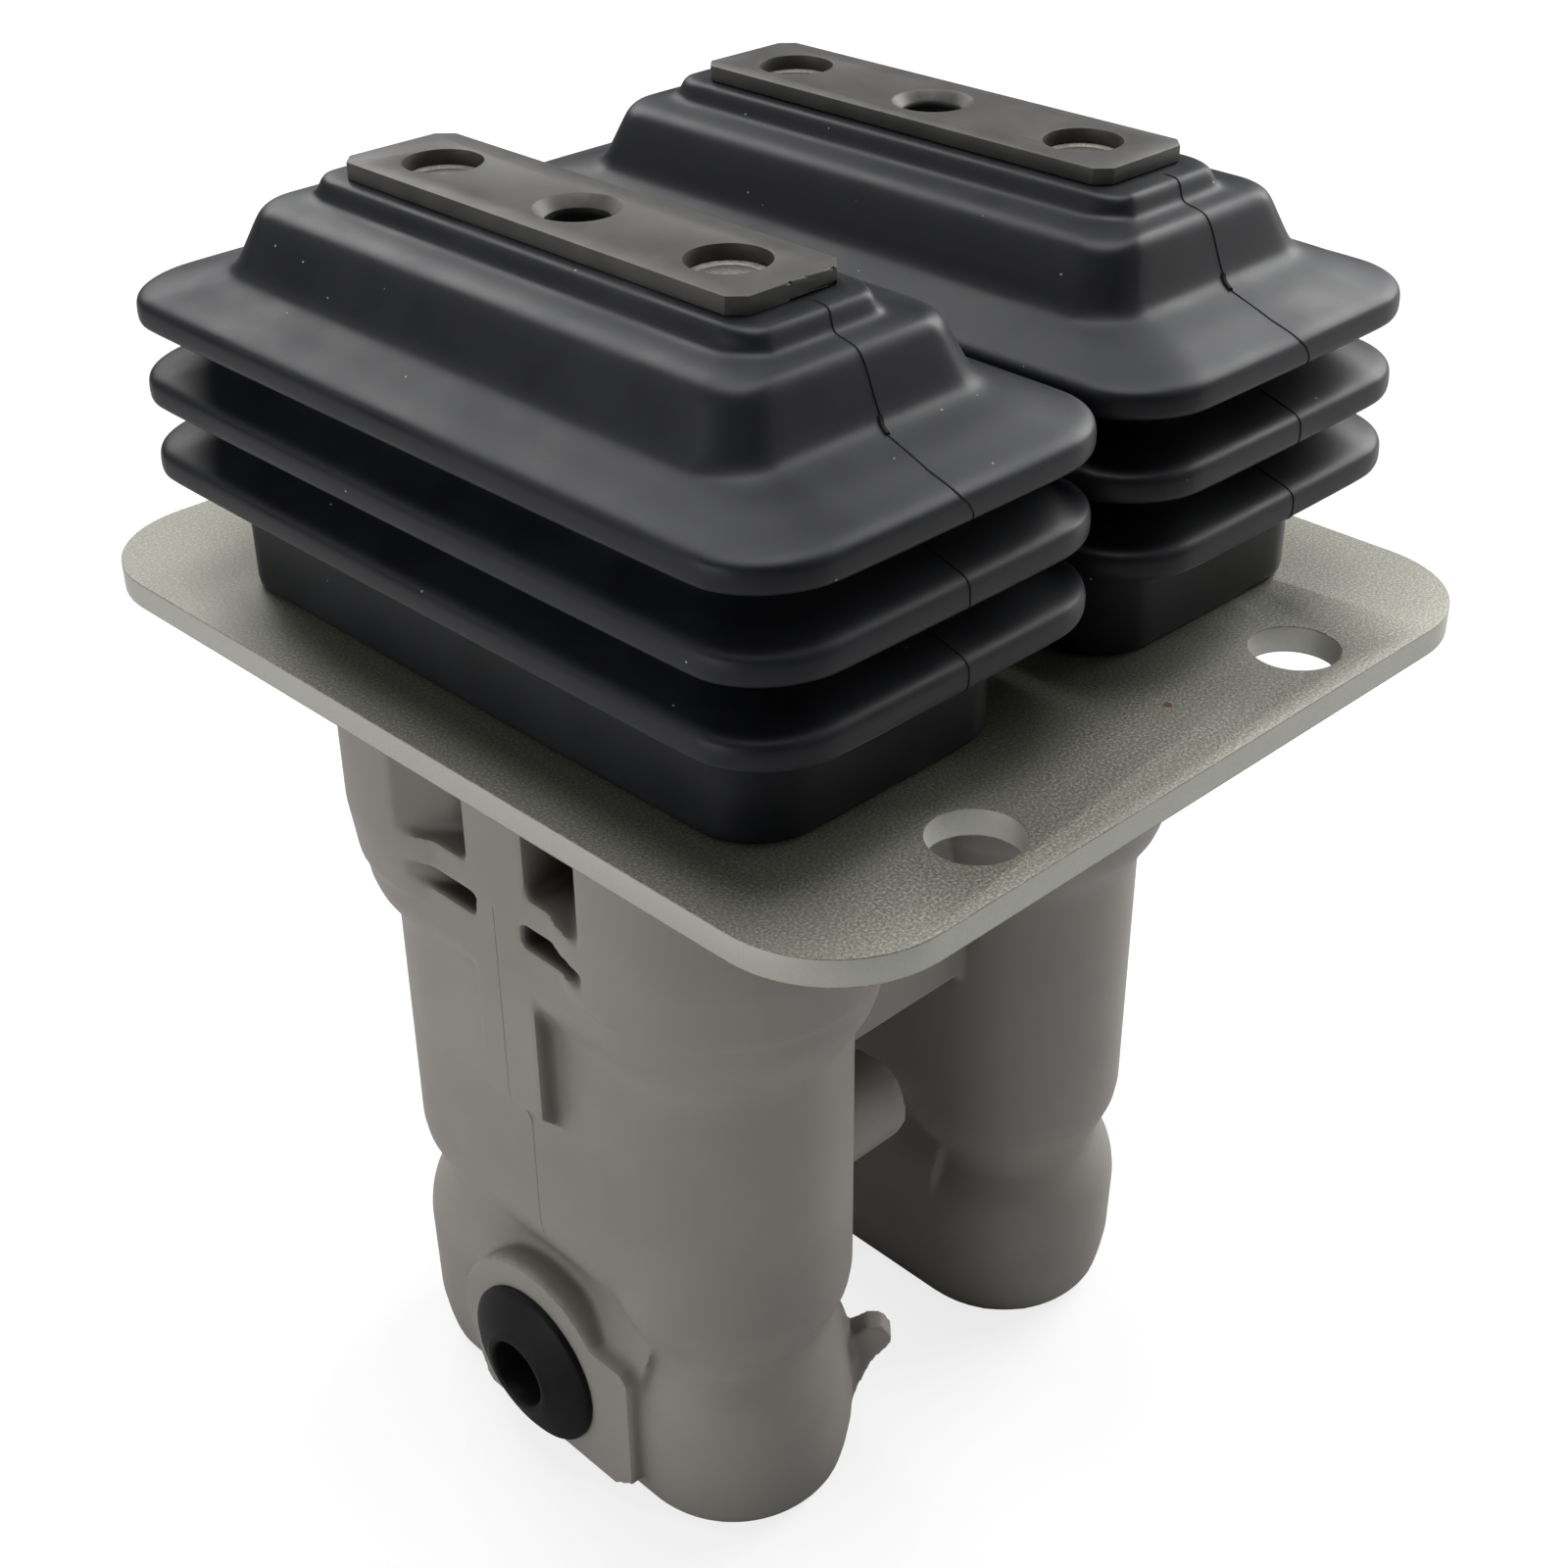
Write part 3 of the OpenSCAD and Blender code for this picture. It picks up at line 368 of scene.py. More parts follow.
def draped_line(name, ground, half_width, points):
    """A thin rounded bead laid over another piece, through points near its surface."""
    clear_selection()
    mesh = bpy.data.meshes.new(name)
    mesh.from_pydata(points, [(i, i + 1) for i in range(len(points) - 1)], [])
    obj = bpy.data.objects.new(name, mesh)
    bpy.context.scene.collection.objects.link(obj)
    pick(obj)
    bpy.ops.object.mode_set(mode="EDIT")
    bpy.ops.mesh.select_all(action="SELECT")
    bpy.ops.mesh.subdivide(number_cuts=3)
    bpy.ops.object.mode_set(mode="OBJECT")
    apply_modifier(obj, "SHRINKWRAP", target=ground, wrap_method="NEAREST_SURFACEPOINT")
    pick(obj)
    bpy.ops.object.convert(target="CURVE")
    obj.data.bevel_depth = half_width
    obj.data.bevel_resolution = 1
    obj.data.use_fill_caps = True
    bpy.ops.object.convert(target="MESH")
    return obj


def finish_piece(obj, material, replaces=()):
    """Gives a finished mesh its material and hides the CAD nodes that it stands for."""
    obj.data.materials.clear()
    obj.data.materials.append(material)
    if replaces:
        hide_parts(*replaces)


# Small helpers for materials.

# The colour sockets of a Mix node, which share their names with its other sockets.
MIX_COLOUR_A, MIX_COLOUR_B, MIX_COLOUR_RESULT = 6, 7, 2


def linear(hex_colour):
    """An sRGB hex colour as linear red, green, blue and alpha."""
    parts = [int(hex_colour[i:i + 2], 16) / 255 for i in (1, 3, 5)]
    return tuple(c / 12.92 if c <= 0.04045 else ((c + 0.055) / 1.055) ** 2.4 for c in parts) + (1.0,)


def add_node(tree, kind, settings=None, links=None):
    """Adds one node with its settings and links. A link is (node, output name)."""
    n = tree.nodes.new(kind)
    for key, value in (settings or {}).items():
        if isinstance(key, int) or key in n.inputs:
            n.inputs[key].default_value = value
        else:
            setattr(n, key, value)
    for key, (source, output) in (links or {}).items():
        tree.links.new(source.outputs[output], n.inputs[key])
    return n


def new_material(name, roughness, metallic=0.0, **sockets):
    """An empty Principled material: returns material, tree, shader and object coordinates."""
    m = bpy.data.materials.new(name)
    m.use_nodes = True
    tree = m.node_tree
    shader = tree.nodes["Principled BSDF"]
    shader.inputs["Roughness"].default_value = roughness
    shader.inputs["Metallic"].default_value = metallic
    for key, value in sockets.items():
        shader.inputs[key].default_value = value
    place = add_node(tree, "ShaderNodeTexCoord")
    return m, tree, shader, place


def colour_ramp(tree, source, output, stops):
    """A ramp of (position, hex colour) stops driven by one output."""
    ramp = add_node(tree, "ShaderNodeValToRGB", links={"Fac": (source, output)})
    while len(ramp.color_ramp.elements) < len(stops):
        ramp.color_ramp.elements.new(0.5)
    for element, (position, shade) in zip(ramp.color_ramp.elements, stops):
        element.position = position
        element.color = linear(shade)
    return ramp


def per_mm(size_mm):
    """Pattern scale whose features are about this many millimetres across."""
    return 1 / (size_mm * MM)


def add_noise(tree, place, size_mm, detail=2.0, roughness=0.5):
    """Noise in object space with features of a given size."""
    settings = {"Scale": per_mm(size_mm), "Detail": detail, "Roughness": roughness}
    return add_node(tree, "ShaderNodeTexNoise", settings, {"Vector": (place, "Object")})


def add_specks(tree, place, spacing_mm, reach):
    """Small round specks about this far apart, as one inside them and nothing elsewhere."""
    cells = add_node(tree, "ShaderNodeTexVoronoi", {"Scale": per_mm(spacing_mm), "Randomness": 1.0},
                     {"Vector": (place, "Object")})
    return add_node(tree, "ShaderNodeMath", {"operation": "LESS_THAN", 1: reach}, {0: (cells, "Distance")})


def mix_colours(tree, one, other, factor=None, blend="MIX"):
    """Mixes two colours. Each is a (node, output) link or an sRGB hex colour; the factor is a link."""
    mix = add_node(tree, "ShaderNodeMix", {"data_type": "RGBA", "blend_type": blend})
    if factor:
        tree.links.new(factor[0].outputs[factor[1]], mix.inputs["Factor"])
    else:
        mix.inputs["Factor"].default_value = 1.0
    for socket, colour in ((MIX_COLOUR_A, one), (MIX_COLOUR_B, other)):
        if isinstance(colour, str):
            mix.inputs[socket].default_value = linear(colour)
        else:
            tree.links.new(colour[0].outputs[colour[1]], mix.inputs[socket])
    return mix, MIX_COLOUR_RESULT


def add_bump(tree, shader, height, strength, distance_mm):
    """Bumps from a noise's height, with their depth in millimetres."""
    settings = {"Strength": strength, "Distance": distance_mm * MM}
    bump = add_node(tree, "ShaderNodeBump", settings, {"Height": (height, "Fac")})
    tree.links.new(bump.outputs["Normal"], shader.inputs["Normal"])


def vary_roughness(tree, shader, noise, smoothest, roughest):
    """Lets a noise move the roughness between two values."""
    settings = {"From Min": 0.3, "From Max": 0.7, "To Min": smoothest, "To Max": roughest}
    rough = add_node(tree, "ShaderNodeMapRange", settings, {"Value": (noise, "Fac")})
    tree.links.new(rough.outputs["Result"], shader.inputs["Roughness"])


def cast_iron(colours):
    """Fine-grained grey iron, shell cast and shot blasted: matt, slightly warm, softly mottled."""
    m, tree, shader, place = new_material("shot_blasted_cast_iron", 0.62)
    broad = add_noise(tree, place, 38, 3.0)
    iron = colour_ramp(tree, broad, "Fac", ((0.3, colours.casting_dark), (0.7, colours.casting_light)))
    # Painted shade: an ambient occlusion ramp darkens the pockets, corners and creases, where shade falls,
    # towards a darker tone.
    reach = {"samples": 8, "only_local": True, "Distance": 9 * MM}
    painted_shade_occlusion = add_node(tree, "ShaderNodeAmbientOcclusion", reach)
    skin = colour_ramp(tree, painted_shade_occlusion, "AO", ((0.3, colours.casting_painted_shade), (0.85, "#ffffff")))
    shaded, result = mix_colours(tree, (iron, "Color"), (skin, "Color"), blend="MULTIPLY")
    tree.links.new(shaded.outputs[result], shader.inputs["Base Color"])
    # Real shot marks are 0.3 mm; they are drawn 0.9 mm wide so that they show.
    grain = add_noise(tree, place, 0.9)
    add_bump(tree, shader, grain, 0.12, 0.12)
    return m


def zinc_plate(colours):
    """Steel plate, blasted and zinc plated: satin champagne grey, a fine sparkle and a few rust specks."""
    m, tree, shader, place = new_material("blasted_zinc_plate", 0.5, 0.55)
    # Blasting grit leaves pits of about 0.3 mm; they are drawn 0.45 mm wide so that they show.
    grit = add_noise(tree, place, 0.45, 3.0, 0.75)
    tones = ((0.32, colours.plate_dark), (0.5, colours.plate_middle), (0.68, colours.plate_light))
    shade = colour_ramp(tree, grit, "Fac", tones)
    broad = add_noise(tree, place, 45)
    tone = colour_ramp(tree, broad, "Fac", ((0.3, "#e6e6e4"), (0.7, "#ffffff")))
    toned, result = mix_colours(tree, (shade, "Color"), (tone, "Color"), blend="MULTIPLY")
    specks = add_specks(tree, place, 24, 0.028)
    rusty, result = mix_colours(tree, (toned, result), "#6b4a35", (specks, "Value"))
    # Painted highlight: the faces of the plate's edge, between its top and bottom, are painted paler, as
    # where the light catches them.
    along = add_node(tree, "ShaderNodeSeparateXYZ", None, {"Vector": (place, "Object")})
    limits = {"From Min": PLATE_LOW[2], "From Max": PLATE_HIGH[2]}
    depth = add_node(tree, "ShaderNodeMapRange", limits, {"Value": (along, "Z")})
    painted_highlight_stops = ((0.02, "#000000"), (0.06, "#ffffff"), (0.94, "#ffffff"), (0.98, "#000000"))
    rim = colour_ramp(tree, depth, "Result", painted_highlight_stops)
    highlighted_edges, result = mix_colours(tree, (rusty, result), colours.plate_edge, (rim, "Color"))
    tree.links.new(highlighted_edges.outputs[result], shader.inputs["Base Color"])
    vary_roughness(tree, shader, grit, 0.42, 0.62)
    add_bump(tree, shader, grit, 0.35, 0.15)
    return m


def moulded_rubber(colours):
    """Black nitrile rubber, compression moulded: satin, faintly blue, clouded, with pale specks of dust."""
    m, tree, shader, place = new_material("moulded_nitrile_rubber", 0.45, **{"Specular IOR Level": 0.22})
    cloud = add_noise(tree, place, 16, 6.0, 0.62)
    shade = colour_ramp(tree, cloud, "Fac", ((0.35, colours.rubber_dark), (0.7, colours.rubber_light)))
    specks = add_specks(tree, place, 5.5, 0.032)
    dusty, result = mix_colours(tree, (shade, "Color"), "#8d8f92", (specks, "Value"))
    tree.links.new(dusty.outputs[result], shader.inputs["Base Color"])
    vary_roughness(tree, shader, cloud, 0.38, 0.52)
    # The mould's spark-eroded skin is 0.2 mm fine; it is drawn 0.7 mm wide so that it shows.
    skin = add_noise(tree, place, 0.7)
    add_bump(tree, shader, skin, 0.08, 0.1)
    return m


def torn_rubber_with_painted_shade():
    """The torn edge of moulding flash: dead matt, and nearly black as painted shade for the shadow along the
    thin fin, so that it reads as a fine dark line.
    """
    sockets = {"Base Color": linear("#0c0c0d"), "Specular IOR Level": 0.2}
    return new_material("torn_flash_with_painted_shade", 0.8, **sockets)[0]


def plain_finish(name, dark, light, spread, roughness, metallic, mark, bump, **sockets):
    """A mottled finish.

    spread: where the noise is fully dark and fully light. mark: the noise's size in millimetres, detail and
    roughness. bump: size of the bumps in millimetres, or None where the marks make them, strength and depth.
    """
    m, tree, shader, place = new_material(name, roughness, metallic, **sockets)
    marks = add_noise(tree, place, *mark)
    shade = colour_ramp(tree, marks, "Fac", ((spread[0], dark), (spread[1], light)))
    tree.links.new(shade.outputs["Color"], shader.inputs["Base Color"])
    size_mm, strength, depth_mm = bump
    bumps = marks if size_mm is None else add_noise(tree, place, size_mm)
    add_bump(tree, shader, bumps, strength, depth_mm)
    return m


def plain_metal(name, dark, light, roughness, metallic, mark_mm):
    """Machined metal: a slight mottling and tool marks of a given width."""
    return plain_finish(name, dark, light, (0.35, 0.65), roughness, metallic, (mark_mm,), (None, 0.1, 0.05))


def dark_coated_steel(colours):
    """Pressed steel plate with a thin dark e-coat: warm, satin, with pale wear over a fine orange peel."""
    return plain_finish("e_coated_steel", colours.pedal_dark, colours.pedal_light, (0.35, 0.72), 0.52, 0.35,
                        (9, 5.0, 0.6), (0.8, 0.1, 0.06))


def moulded_plastic(colours):
    """Black polyethylene cap, injection moulded: matt with a soft sheen."""
    return plain_finish("moulded_polyethylene", colours.plug_dark, colours.plug_light, (0.3, 0.7), 0.5, 0.0,
                        (6,), (None, 0.06, 0.1), **{"Specular IOR Level": 0.12})


# Sizes and colours that a user may change.


def shade_property(name, description, default):
    return bpy.props.StringProperty(name=name, description=description, default=default)


def count_property(name, description, default):
    return bpy.props.IntProperty(name=name, description=description, default=default)


def number_property(name, description, default, unit="NONE"):
    return bpy.props.FloatProperty(name=name, description=description, default=default, unit=unit)


def length_property(name, description, default_mm):
    return number_property(name, description, default_mm * MM, "LENGTH")


class FinishColours(bpy.types.PropertyGroup):
    """Colours of the finishes as sRGB hex values"""
    casting_dark: shade_property("Casting dark", "Darker tone of the casting", "#7d7974")
    casting_light: shade_property("Casting light", "Lighter tone of the casting", "#8b8781")
    # Painted shade: the tone that the occlusion ramp gives the casting's pockets and corners.
    casting_painted_shade: shade_property("Casting painted shade", "Tone that darkens the deep corners", "#6a645d")
    plate_dark: shade_property("Plate dark", "Darker tone of the mounting plate", "#606058")
    plate_middle: shade_property("Plate middle", "Middle tone of the mounting plate", "#7b7b71")
    # Painted highlight: the paler tone painted on the mounting plate's edge faces.
    plate_edge: shade_property("Plate edge", "Tone of the mounting plate's sheared edge", "#a9a9a1")
    plate_light: shade_property("Plate light", "Lighter tone of the mounting plate", "#a5a59a")
    rubber_dark: shade_property("Rubber dark", "Darker tone of the boots", "#111216")
    rubber_light: shade_property("Rubber light", "Lighter tone of the boots", "#1b1c20")
    pedal_dark: shade_property("Pedal dark", "Darker tone of the pedal plates", "#373634")
    pedal_light: shade_property("Pedal light", "Lighter tone of the pedal plates", "#474643")
    plug_dark: shade_property("Plug dark", "Darker tone of the port plugs", "#0e0e0f")
    plug_light: shade_property("Plug light", "Lighter tone of the port plugs", "#141415")


class CastingSizes(bpy.types.PropertyGroup):
    """Sizes of the casting's surface"""
    voxel: length_property("Voxel", "Size of the remesh steps", 0.7)
    soften: count_property("Soften", "Smoothing steps that round the cast edges", 3)
    keep: number_property("Keep", "Share of the faces kept after the smoothing", 0.4)
    boss_reach: length_property("Boss reach", "Distance of the side port face from the leg's middle", 24.0)
    port_deep: length_property("Port depth", "Depth of the working ports", 12.0)


class EdgeSizes(bpy.types.PropertyGroup):
    """Edge roundings"""
    plate_edge: length_property("Plate edge", "Rounding of the mounting plate's edges", 0.35)
    pedal_edge: length_property("Pedal edge", "Rounding of the pedal plates' edges", 0.25)
    boot_levels: count_property("Boot levels", "Subdivision levels of the boots", 2)


class StageSettings(bpy.types.PropertyGroup):
    """Light and camera"""
    light_power: number_property("Light power", "Power of the overhead lamp in watts", 24.0, "POWER")
    lens: number_property("Lens", "Focal length in millimetres on a 36 mm sensor", 53.43, "CAMERA")
    floor_colour: shade_property("Floor", "Tone with which the floor lights the valve", "#bcbcbc")


# One operator per piece or group of like pieces, with the functions that it needs.


def inside_fillers(boss_reach):
    """Solids that close the drilled insides of the casting, so that a remesh rounds the outer skin alone."""
    half_y, bottom, top = to_metres(BLOCK_FILL)
    fillers = [brick("fill", (-LEG_X, -half_y, bottom), (LEG_X, half_y, top))]
    spool, spool_top = to_metres(SPOOL_FILL)
    web, web_bottom, web_top = to_metres(WEB_FILL)
    for x in SIDES.values():
        for y in (-CYLINDER_Y, CYLINDER_Y):
            fillers.append(drum("fill", *to_metres(GUIDE_FILL), x, y))
            fillers.append(drum("fill", spool, BODY_BOTTOM + END_GAP * MM, spool_top, x, y))
        fillers.append(brick("fill", (x - web, -CYLINDER_Y, web_bottom), (x + web, CYLINDER_Y, web_top)))
        near, far = sorted((x, math.copysign(LEG_X + boss_reach - FILL_GAP * MM, x)))
        fillers.append(drum("fill", SIDE_PORT_FILL * MM, near, far, 0.0, SIDE_PORT_Z, axis="X"))
    return fillers


def machine_ports(body, boss_reach, port_deep):
    """Cuts the working ports with their mouths and the side ports, whose edges are crisp."""
    ports, mouths = [], []
    start = BODY_BOTTOM - PORT_TOOL_OUT * MM
    for x in SIDES.values():
        for y in (-CYLINDER_Y, CYLINDER_Y):
            ports.append(drum("port", PORT_RADIUS * MM, start, BODY_BOTTOM + port_deep, x, y))
            mouths.append(drum("port_mouth", MOUTH_RADIUS * MM, start, BODY_BOTTOM + MOUTH_DEEP * MM, x, y))
        out = math.copysign(1, x)
        face = LEG_X + boss_reach
        near, far = sorted((out * (face - SIDE_PORT_DEEP * MM), out * (face + SIDE_TOOL_OUT * MM)))
        ports.append(drum("side_port", SIDE_PORT_RADIUS * MM, near, far, 0.0, SIDE_PORT_Z, axis="X"))
    for tools in (ports, mouths):
        pick(*tools)
        bpy.ops.object.join()
        cut(body, tools[0])


class PEDALVALVE_OT_casting(bpy.types.Operator):
    """Rounds the cast edges, cuts the machined ports again and finishes the casting"""
    bl_idname = "pedalvalve.casting"
    bl_label = "Casting"

    def execute(self, context):
        sizes = context.scene.casting_sizes
        body = copy_of_node("valve_body", "casting")
        pick(body, *inside_fillers(sizes.boss_reach))
        bpy.ops.object.join()
        apply_modifier(body, "REMESH", mode="VOXEL", voxel_size=sizes.voxel)
        apply_modifier(body, "SMOOTH", factor=0.5, iterations=sizes.soften)
        apply_modifier(body, "DECIMATE", ratio=sizes.keep)
        # The face under the mounting plate is machined flat.
        cut(body, brick("trim", *TRIM))
        smooth(body, 40)
        machine_ports(body, sizes.boss_reach, sizes.port_deep)
        finish_piece(body, cast_iron(context.scene.finish_colours), ["valve_body"])
        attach(body, "base")
        # The halves of the mould meet along the middle of each leg and leave a low seam.
        for side, x in SIDES.items():
            out = x + math.copysign(SEAM_OUT * MM, x)
            points = [(out, SEAM_Y * MM, z * MM) for z in SEAM_HEIGHTS]
            seam = draped_line(side + "_mould_seam", body, SEAM_RADIUS * MM, points)
            finish_piece(seam, body.data.materials[0])
            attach(seam, "base")
        return {"FINISHED"}


class PEDALVALVE_OT_mounting_plate(bpy.types.Operator):
    """Rounds the edges of the mounting plate and finishes it"""
    bl_idname = "pedalvalve.mounting_plate"
    bl_label = "Mounting plate"

    def execute(self, context):
        plate = copy_of_node("mounting_plate", "floor_plate")
        apply_modifier(plate, "BEVEL", width=context.scene.edge_sizes.plate_edge, segments=3,
                       limit_method="ANGLE", angle_limit=math.radians(50))
        smooth(plate, 35)
        finish_piece(plate, zinc_plate(context.scene.finish_colours), ["mounting_plate"])
        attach(plate, "base")
        return {"FINISHED"}


def extrude_ring(height, grow_x, grow_y, centre):
    """Extrudes the selected edge loop, lifts it and grows it about the boot's middle."""
    bpy.ops.mesh.extrude_edges_move(TRANSFORM_OT_translate={"value": (0, 0, height)})
    bpy.ops.transform.resize(value=(grow_x, grow_y, 1), center_override=centre)


def ring_stack(name, rings, corner, x):
    """A stack of rounded rectangles, started as a plane whose corners are bevelled round."""
    z, half_x, half_y = (v * MM for v in rings[0])
    clear_selection()
    bpy.ops.mesh.primitive_plane_add(size=2, location=(x, 0, z))
    stack = newest(name)
    stack.scale = (half_x, half_y, 1)
    bake_place()
    bpy.ops.object.mode_set(mode="EDIT")
    bpy.ops.mesh.select_all(action="SELECT")
    bpy.ops.mesh.bevel(offset=corner * MM, offset_type="OFFSET", segments=CORNER_STEPS, affect="VERTICES")
    bpy.ops.mesh.select_all(action="SELECT")
    bpy.ops.mesh.delete(type="ONLY_FACE")
    bpy.ops.mesh.select_all(action="SELECT")
    for (low, wide, long), (high, next_wide, next_long) in zip(rings, rings[1:]):
        extrude_ring((high - low) * MM, next_wide / wide, next_long / long, (x, 0, high * MM))
    bpy.ops.object.mode_set(mode="OBJECT")
    return stack


def open_ends(mesh):
    """The rings of points round the openings of a mesh."""
    loose = {v for v in mesh.verts if v.is_boundary}
    while loose:
        ring = [loose.pop()]
        # The list grows while it is walked, until the ring is whole.
        for v in ring:
            for e in v.link_edges:
                if e.is_boundary and e.other_vert(v) in loose:
                    loose.remove(e.other_vert(v))
                    ring.append(e.other_vert(v))
        yield ring


def join_stacks(obj, stacks, x):
    """Faces from the last ring of each stack to the first of the next, and from the last stack to the first.

    Joining the objects doesn't keep the stacks' order, so each ring is found by its height and half width.
    Each of its points joins the one in the same place of the other ring.
    """
    mesh = bmesh.from_edit_mesh(obj.data)
    ends = list(open_ends(mesh))

    def end_at(ring):
        z, half_x, _ = (v * MM for v in ring)
        misfits = [abs(end[0].co.z - z) + abs(max(v.co.x for v in end) - x - half_x) for end in ends]
        points = ends[misfits.index(min(misfits))]
        return sorted(points, key=lambda v: math.atan2(v.co.y, v.co.x - x))

    for rings, following in zip(stacks, stacks[1:] + stacks[:1]):
        one, other = end_at(rings[-1]), end_at(following[0])
        for quad in zip(one, one[1:] + one[:1], other[1:] + other[:1], other):
            mesh.faces.new(quad)
    bmesh.update_edit_mesh(obj.data)


class PEDALVALVE_OT_boots(bpy.types.Operator):
    """Models the two rubber bellows boots ring by ring"""
    bl_idname = "pedalvalve.boots"
    bl_label = "Rubber boots"

    def execute(self, context):
        rubber = moulded_rubber(context.scene.finish_colours)
        # The flash finish is dead matt torn rubber, darkened further as painted shade along the fin.
        torn = torn_rubber_with_painted_shade()
        boot = ring_stack("left_rubber_boot", BELLOWS_OUTSIDE, BELLOWS_CORNER, -LEG_X)
        parts = [
            ring_stack("block_outside", BLOCK_OUTSIDE, BLOCK_CORNER, -LEG_X),
            ring_stack("block_inside", BLOCK_INSIDE, BLOCK_HOLLOW_CORNER, -LEG_X),
            ring_stack("bellows_inside", BELLOWS_INSIDE, BELLOWS_HOLLOW_CORNER, -LEG_X),
        ]
        stacks = [BELLOWS_OUTSIDE, BLOCK_OUTSIDE, BLOCK_INSIDE, BELLOWS_INSIDE]
        pick(boot, *parts)
        bpy.ops.object.join()
        bpy.ops.object.mode_set(mode="EDIT")
        join_stacks(boot, stacks, -LEG_X)
        bpy.ops.mesh.select_all(action="SELECT")
        bpy.ops.mesh.remove_doubles(threshold=1e-6)
        bpy.ops.mesh.normals_make_consistent(inside=False)
        bpy.ops.object.mode_set(mode="OBJECT")
        levels = context.scene.edge_sizes.boot_levels
        apply_modifier(boot, "SUBSURF", levels=levels, render_levels=levels)
        bpy.ops.object.shade_smooth()
        other = twin(boot, "right_rubber_boot")
        other.location.x = 2 * LEG_X
        bake_place()
        for side, piece in (("left", boot), ("right", other)):
            finish_piece(piece, rubber, [side + "_boot"])
            bend_with_pedal(piece)
            for end, way in (("front", -1), ("rear", 1)):
                flashes = []
                for part, (radius, low, high) in (("line", PARTING_LINE), ("drop", PARTING_DROP)):
                    points = parting_points(side, way, low, high)
                    flashes.append(draped_line(f"{side}_{end}_parting_{part}", piece, radius * MM, points))
                for flash in flashes:
                    finish_piece(flash, torn)
                    bend_with_pedal(flash)
        return {"FINISHED"}


def parting_points(side, way, low, high):
    """Points of the mould's parting line over one end of a boot, between two heights."""
    rings = [r for r in BELLOWS_OUTSIDE + BLOCK_OUTSIDE[:-1] if low <= r[0] <= high]
    heights, aside = zip(*PARTING_WANDER)
    points = []
    for z, _, half_y in rings:
        x = SIDES[side] + float(np.interp(z, heights, aside)) * MM
        points.append((x, way * half_y * MM, z * MM))
    return points


def bend_with_pedal(obj):
    """Puts the piece's place into its mesh."""
    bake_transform(obj)


class PEDALVALVE_OT_pedal_plates(bpy.types.Operator):
    """Rounds the edges of the pedal plates and finishes them"""
    bl_idname = "pedalvalve.pedal_plates"
    bl_label = "Pedal plates"

    def execute(self, context):
        steel = dark_coated_steel(context.scene.finish_colours)
        bare = plain_metal("bare_cut_steel", "#7f7d78", "#a19f9a", 0.42, 1.0, 0.5)
        for side, x in SIDES.items():
            plate = copy_of_node(side + "_pedal_plate", side + "_pedal_top")
            if side == "left":
                # A knock has worn the front edge's top and bottom on its right half.
                for middle, size, turn in KNOCKS:
                    cut(plate, tilted_brick("knock", middle, size, turn))
                sliver = tilted_brick("left_edge_sliver", *SLIVER)
                finish_piece(sliver, bare)
                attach(sliver, "left_pedal")
            apply_modifier(plate, "BEVEL", width=context.scene.edge_sizes.pedal_edge, segments=2,
                           limit_method="ANGLE", angle_limit=math.radians(40))
            smooth(plate, 35)
            finish_piece(plate, steel, [side + "_pedal_plate"])
            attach(plate, side + "_pedal")
            for end, y in (("front", -TAPPED_Y * MM), ("rear", TAPPED_Y * MM)):
                ridge = thread_ridge(f"{side}_{end}_thread", (x, y, THREAD_TOP * MM))
                rim = turned(f"{side}_{end}_tap_rim", TAP_RIM)
                rim.location = (x, y, RIM_Z * MM)
                pick(rim)
                bake_place()
                for bared in (ridge, rim):
                    finish_piece(bared, bare)
                    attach(bared, side + "_pedal")
        return {"FINISHED"}


class PEDALVALVE_OT_port_plugs(bpy.types.Operator):
    """Turns the domed plastic transport plugs from their profile"""
    bl_idname = "pedalvalve.port_plugs"
    bl_label = "Port plugs"

    def execute(self, context):
        left = turned("port_plug", PLUG_PROFILE)
        right = twin(left, "right_port_plug")
        face = PLUGS_LOW[0] + PLUG_CAP * MM
        for plug, way in ((left, -1), (right, 1)):
            pick(plug)
            plug.rotation_euler = (0, way * math.pi / 2, 0)
            plug.location = (-way * face, 0, SIDE_PORT_Z)
            bake_place()
            smooth(plug, 50)
        pick(left, right)
        bpy.ops.object.join()
        finish_piece(left, moulded_plastic(context.scene.finish_colours), ["port_plugs"])
        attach(left, "base")
        return {"FINISHED"}


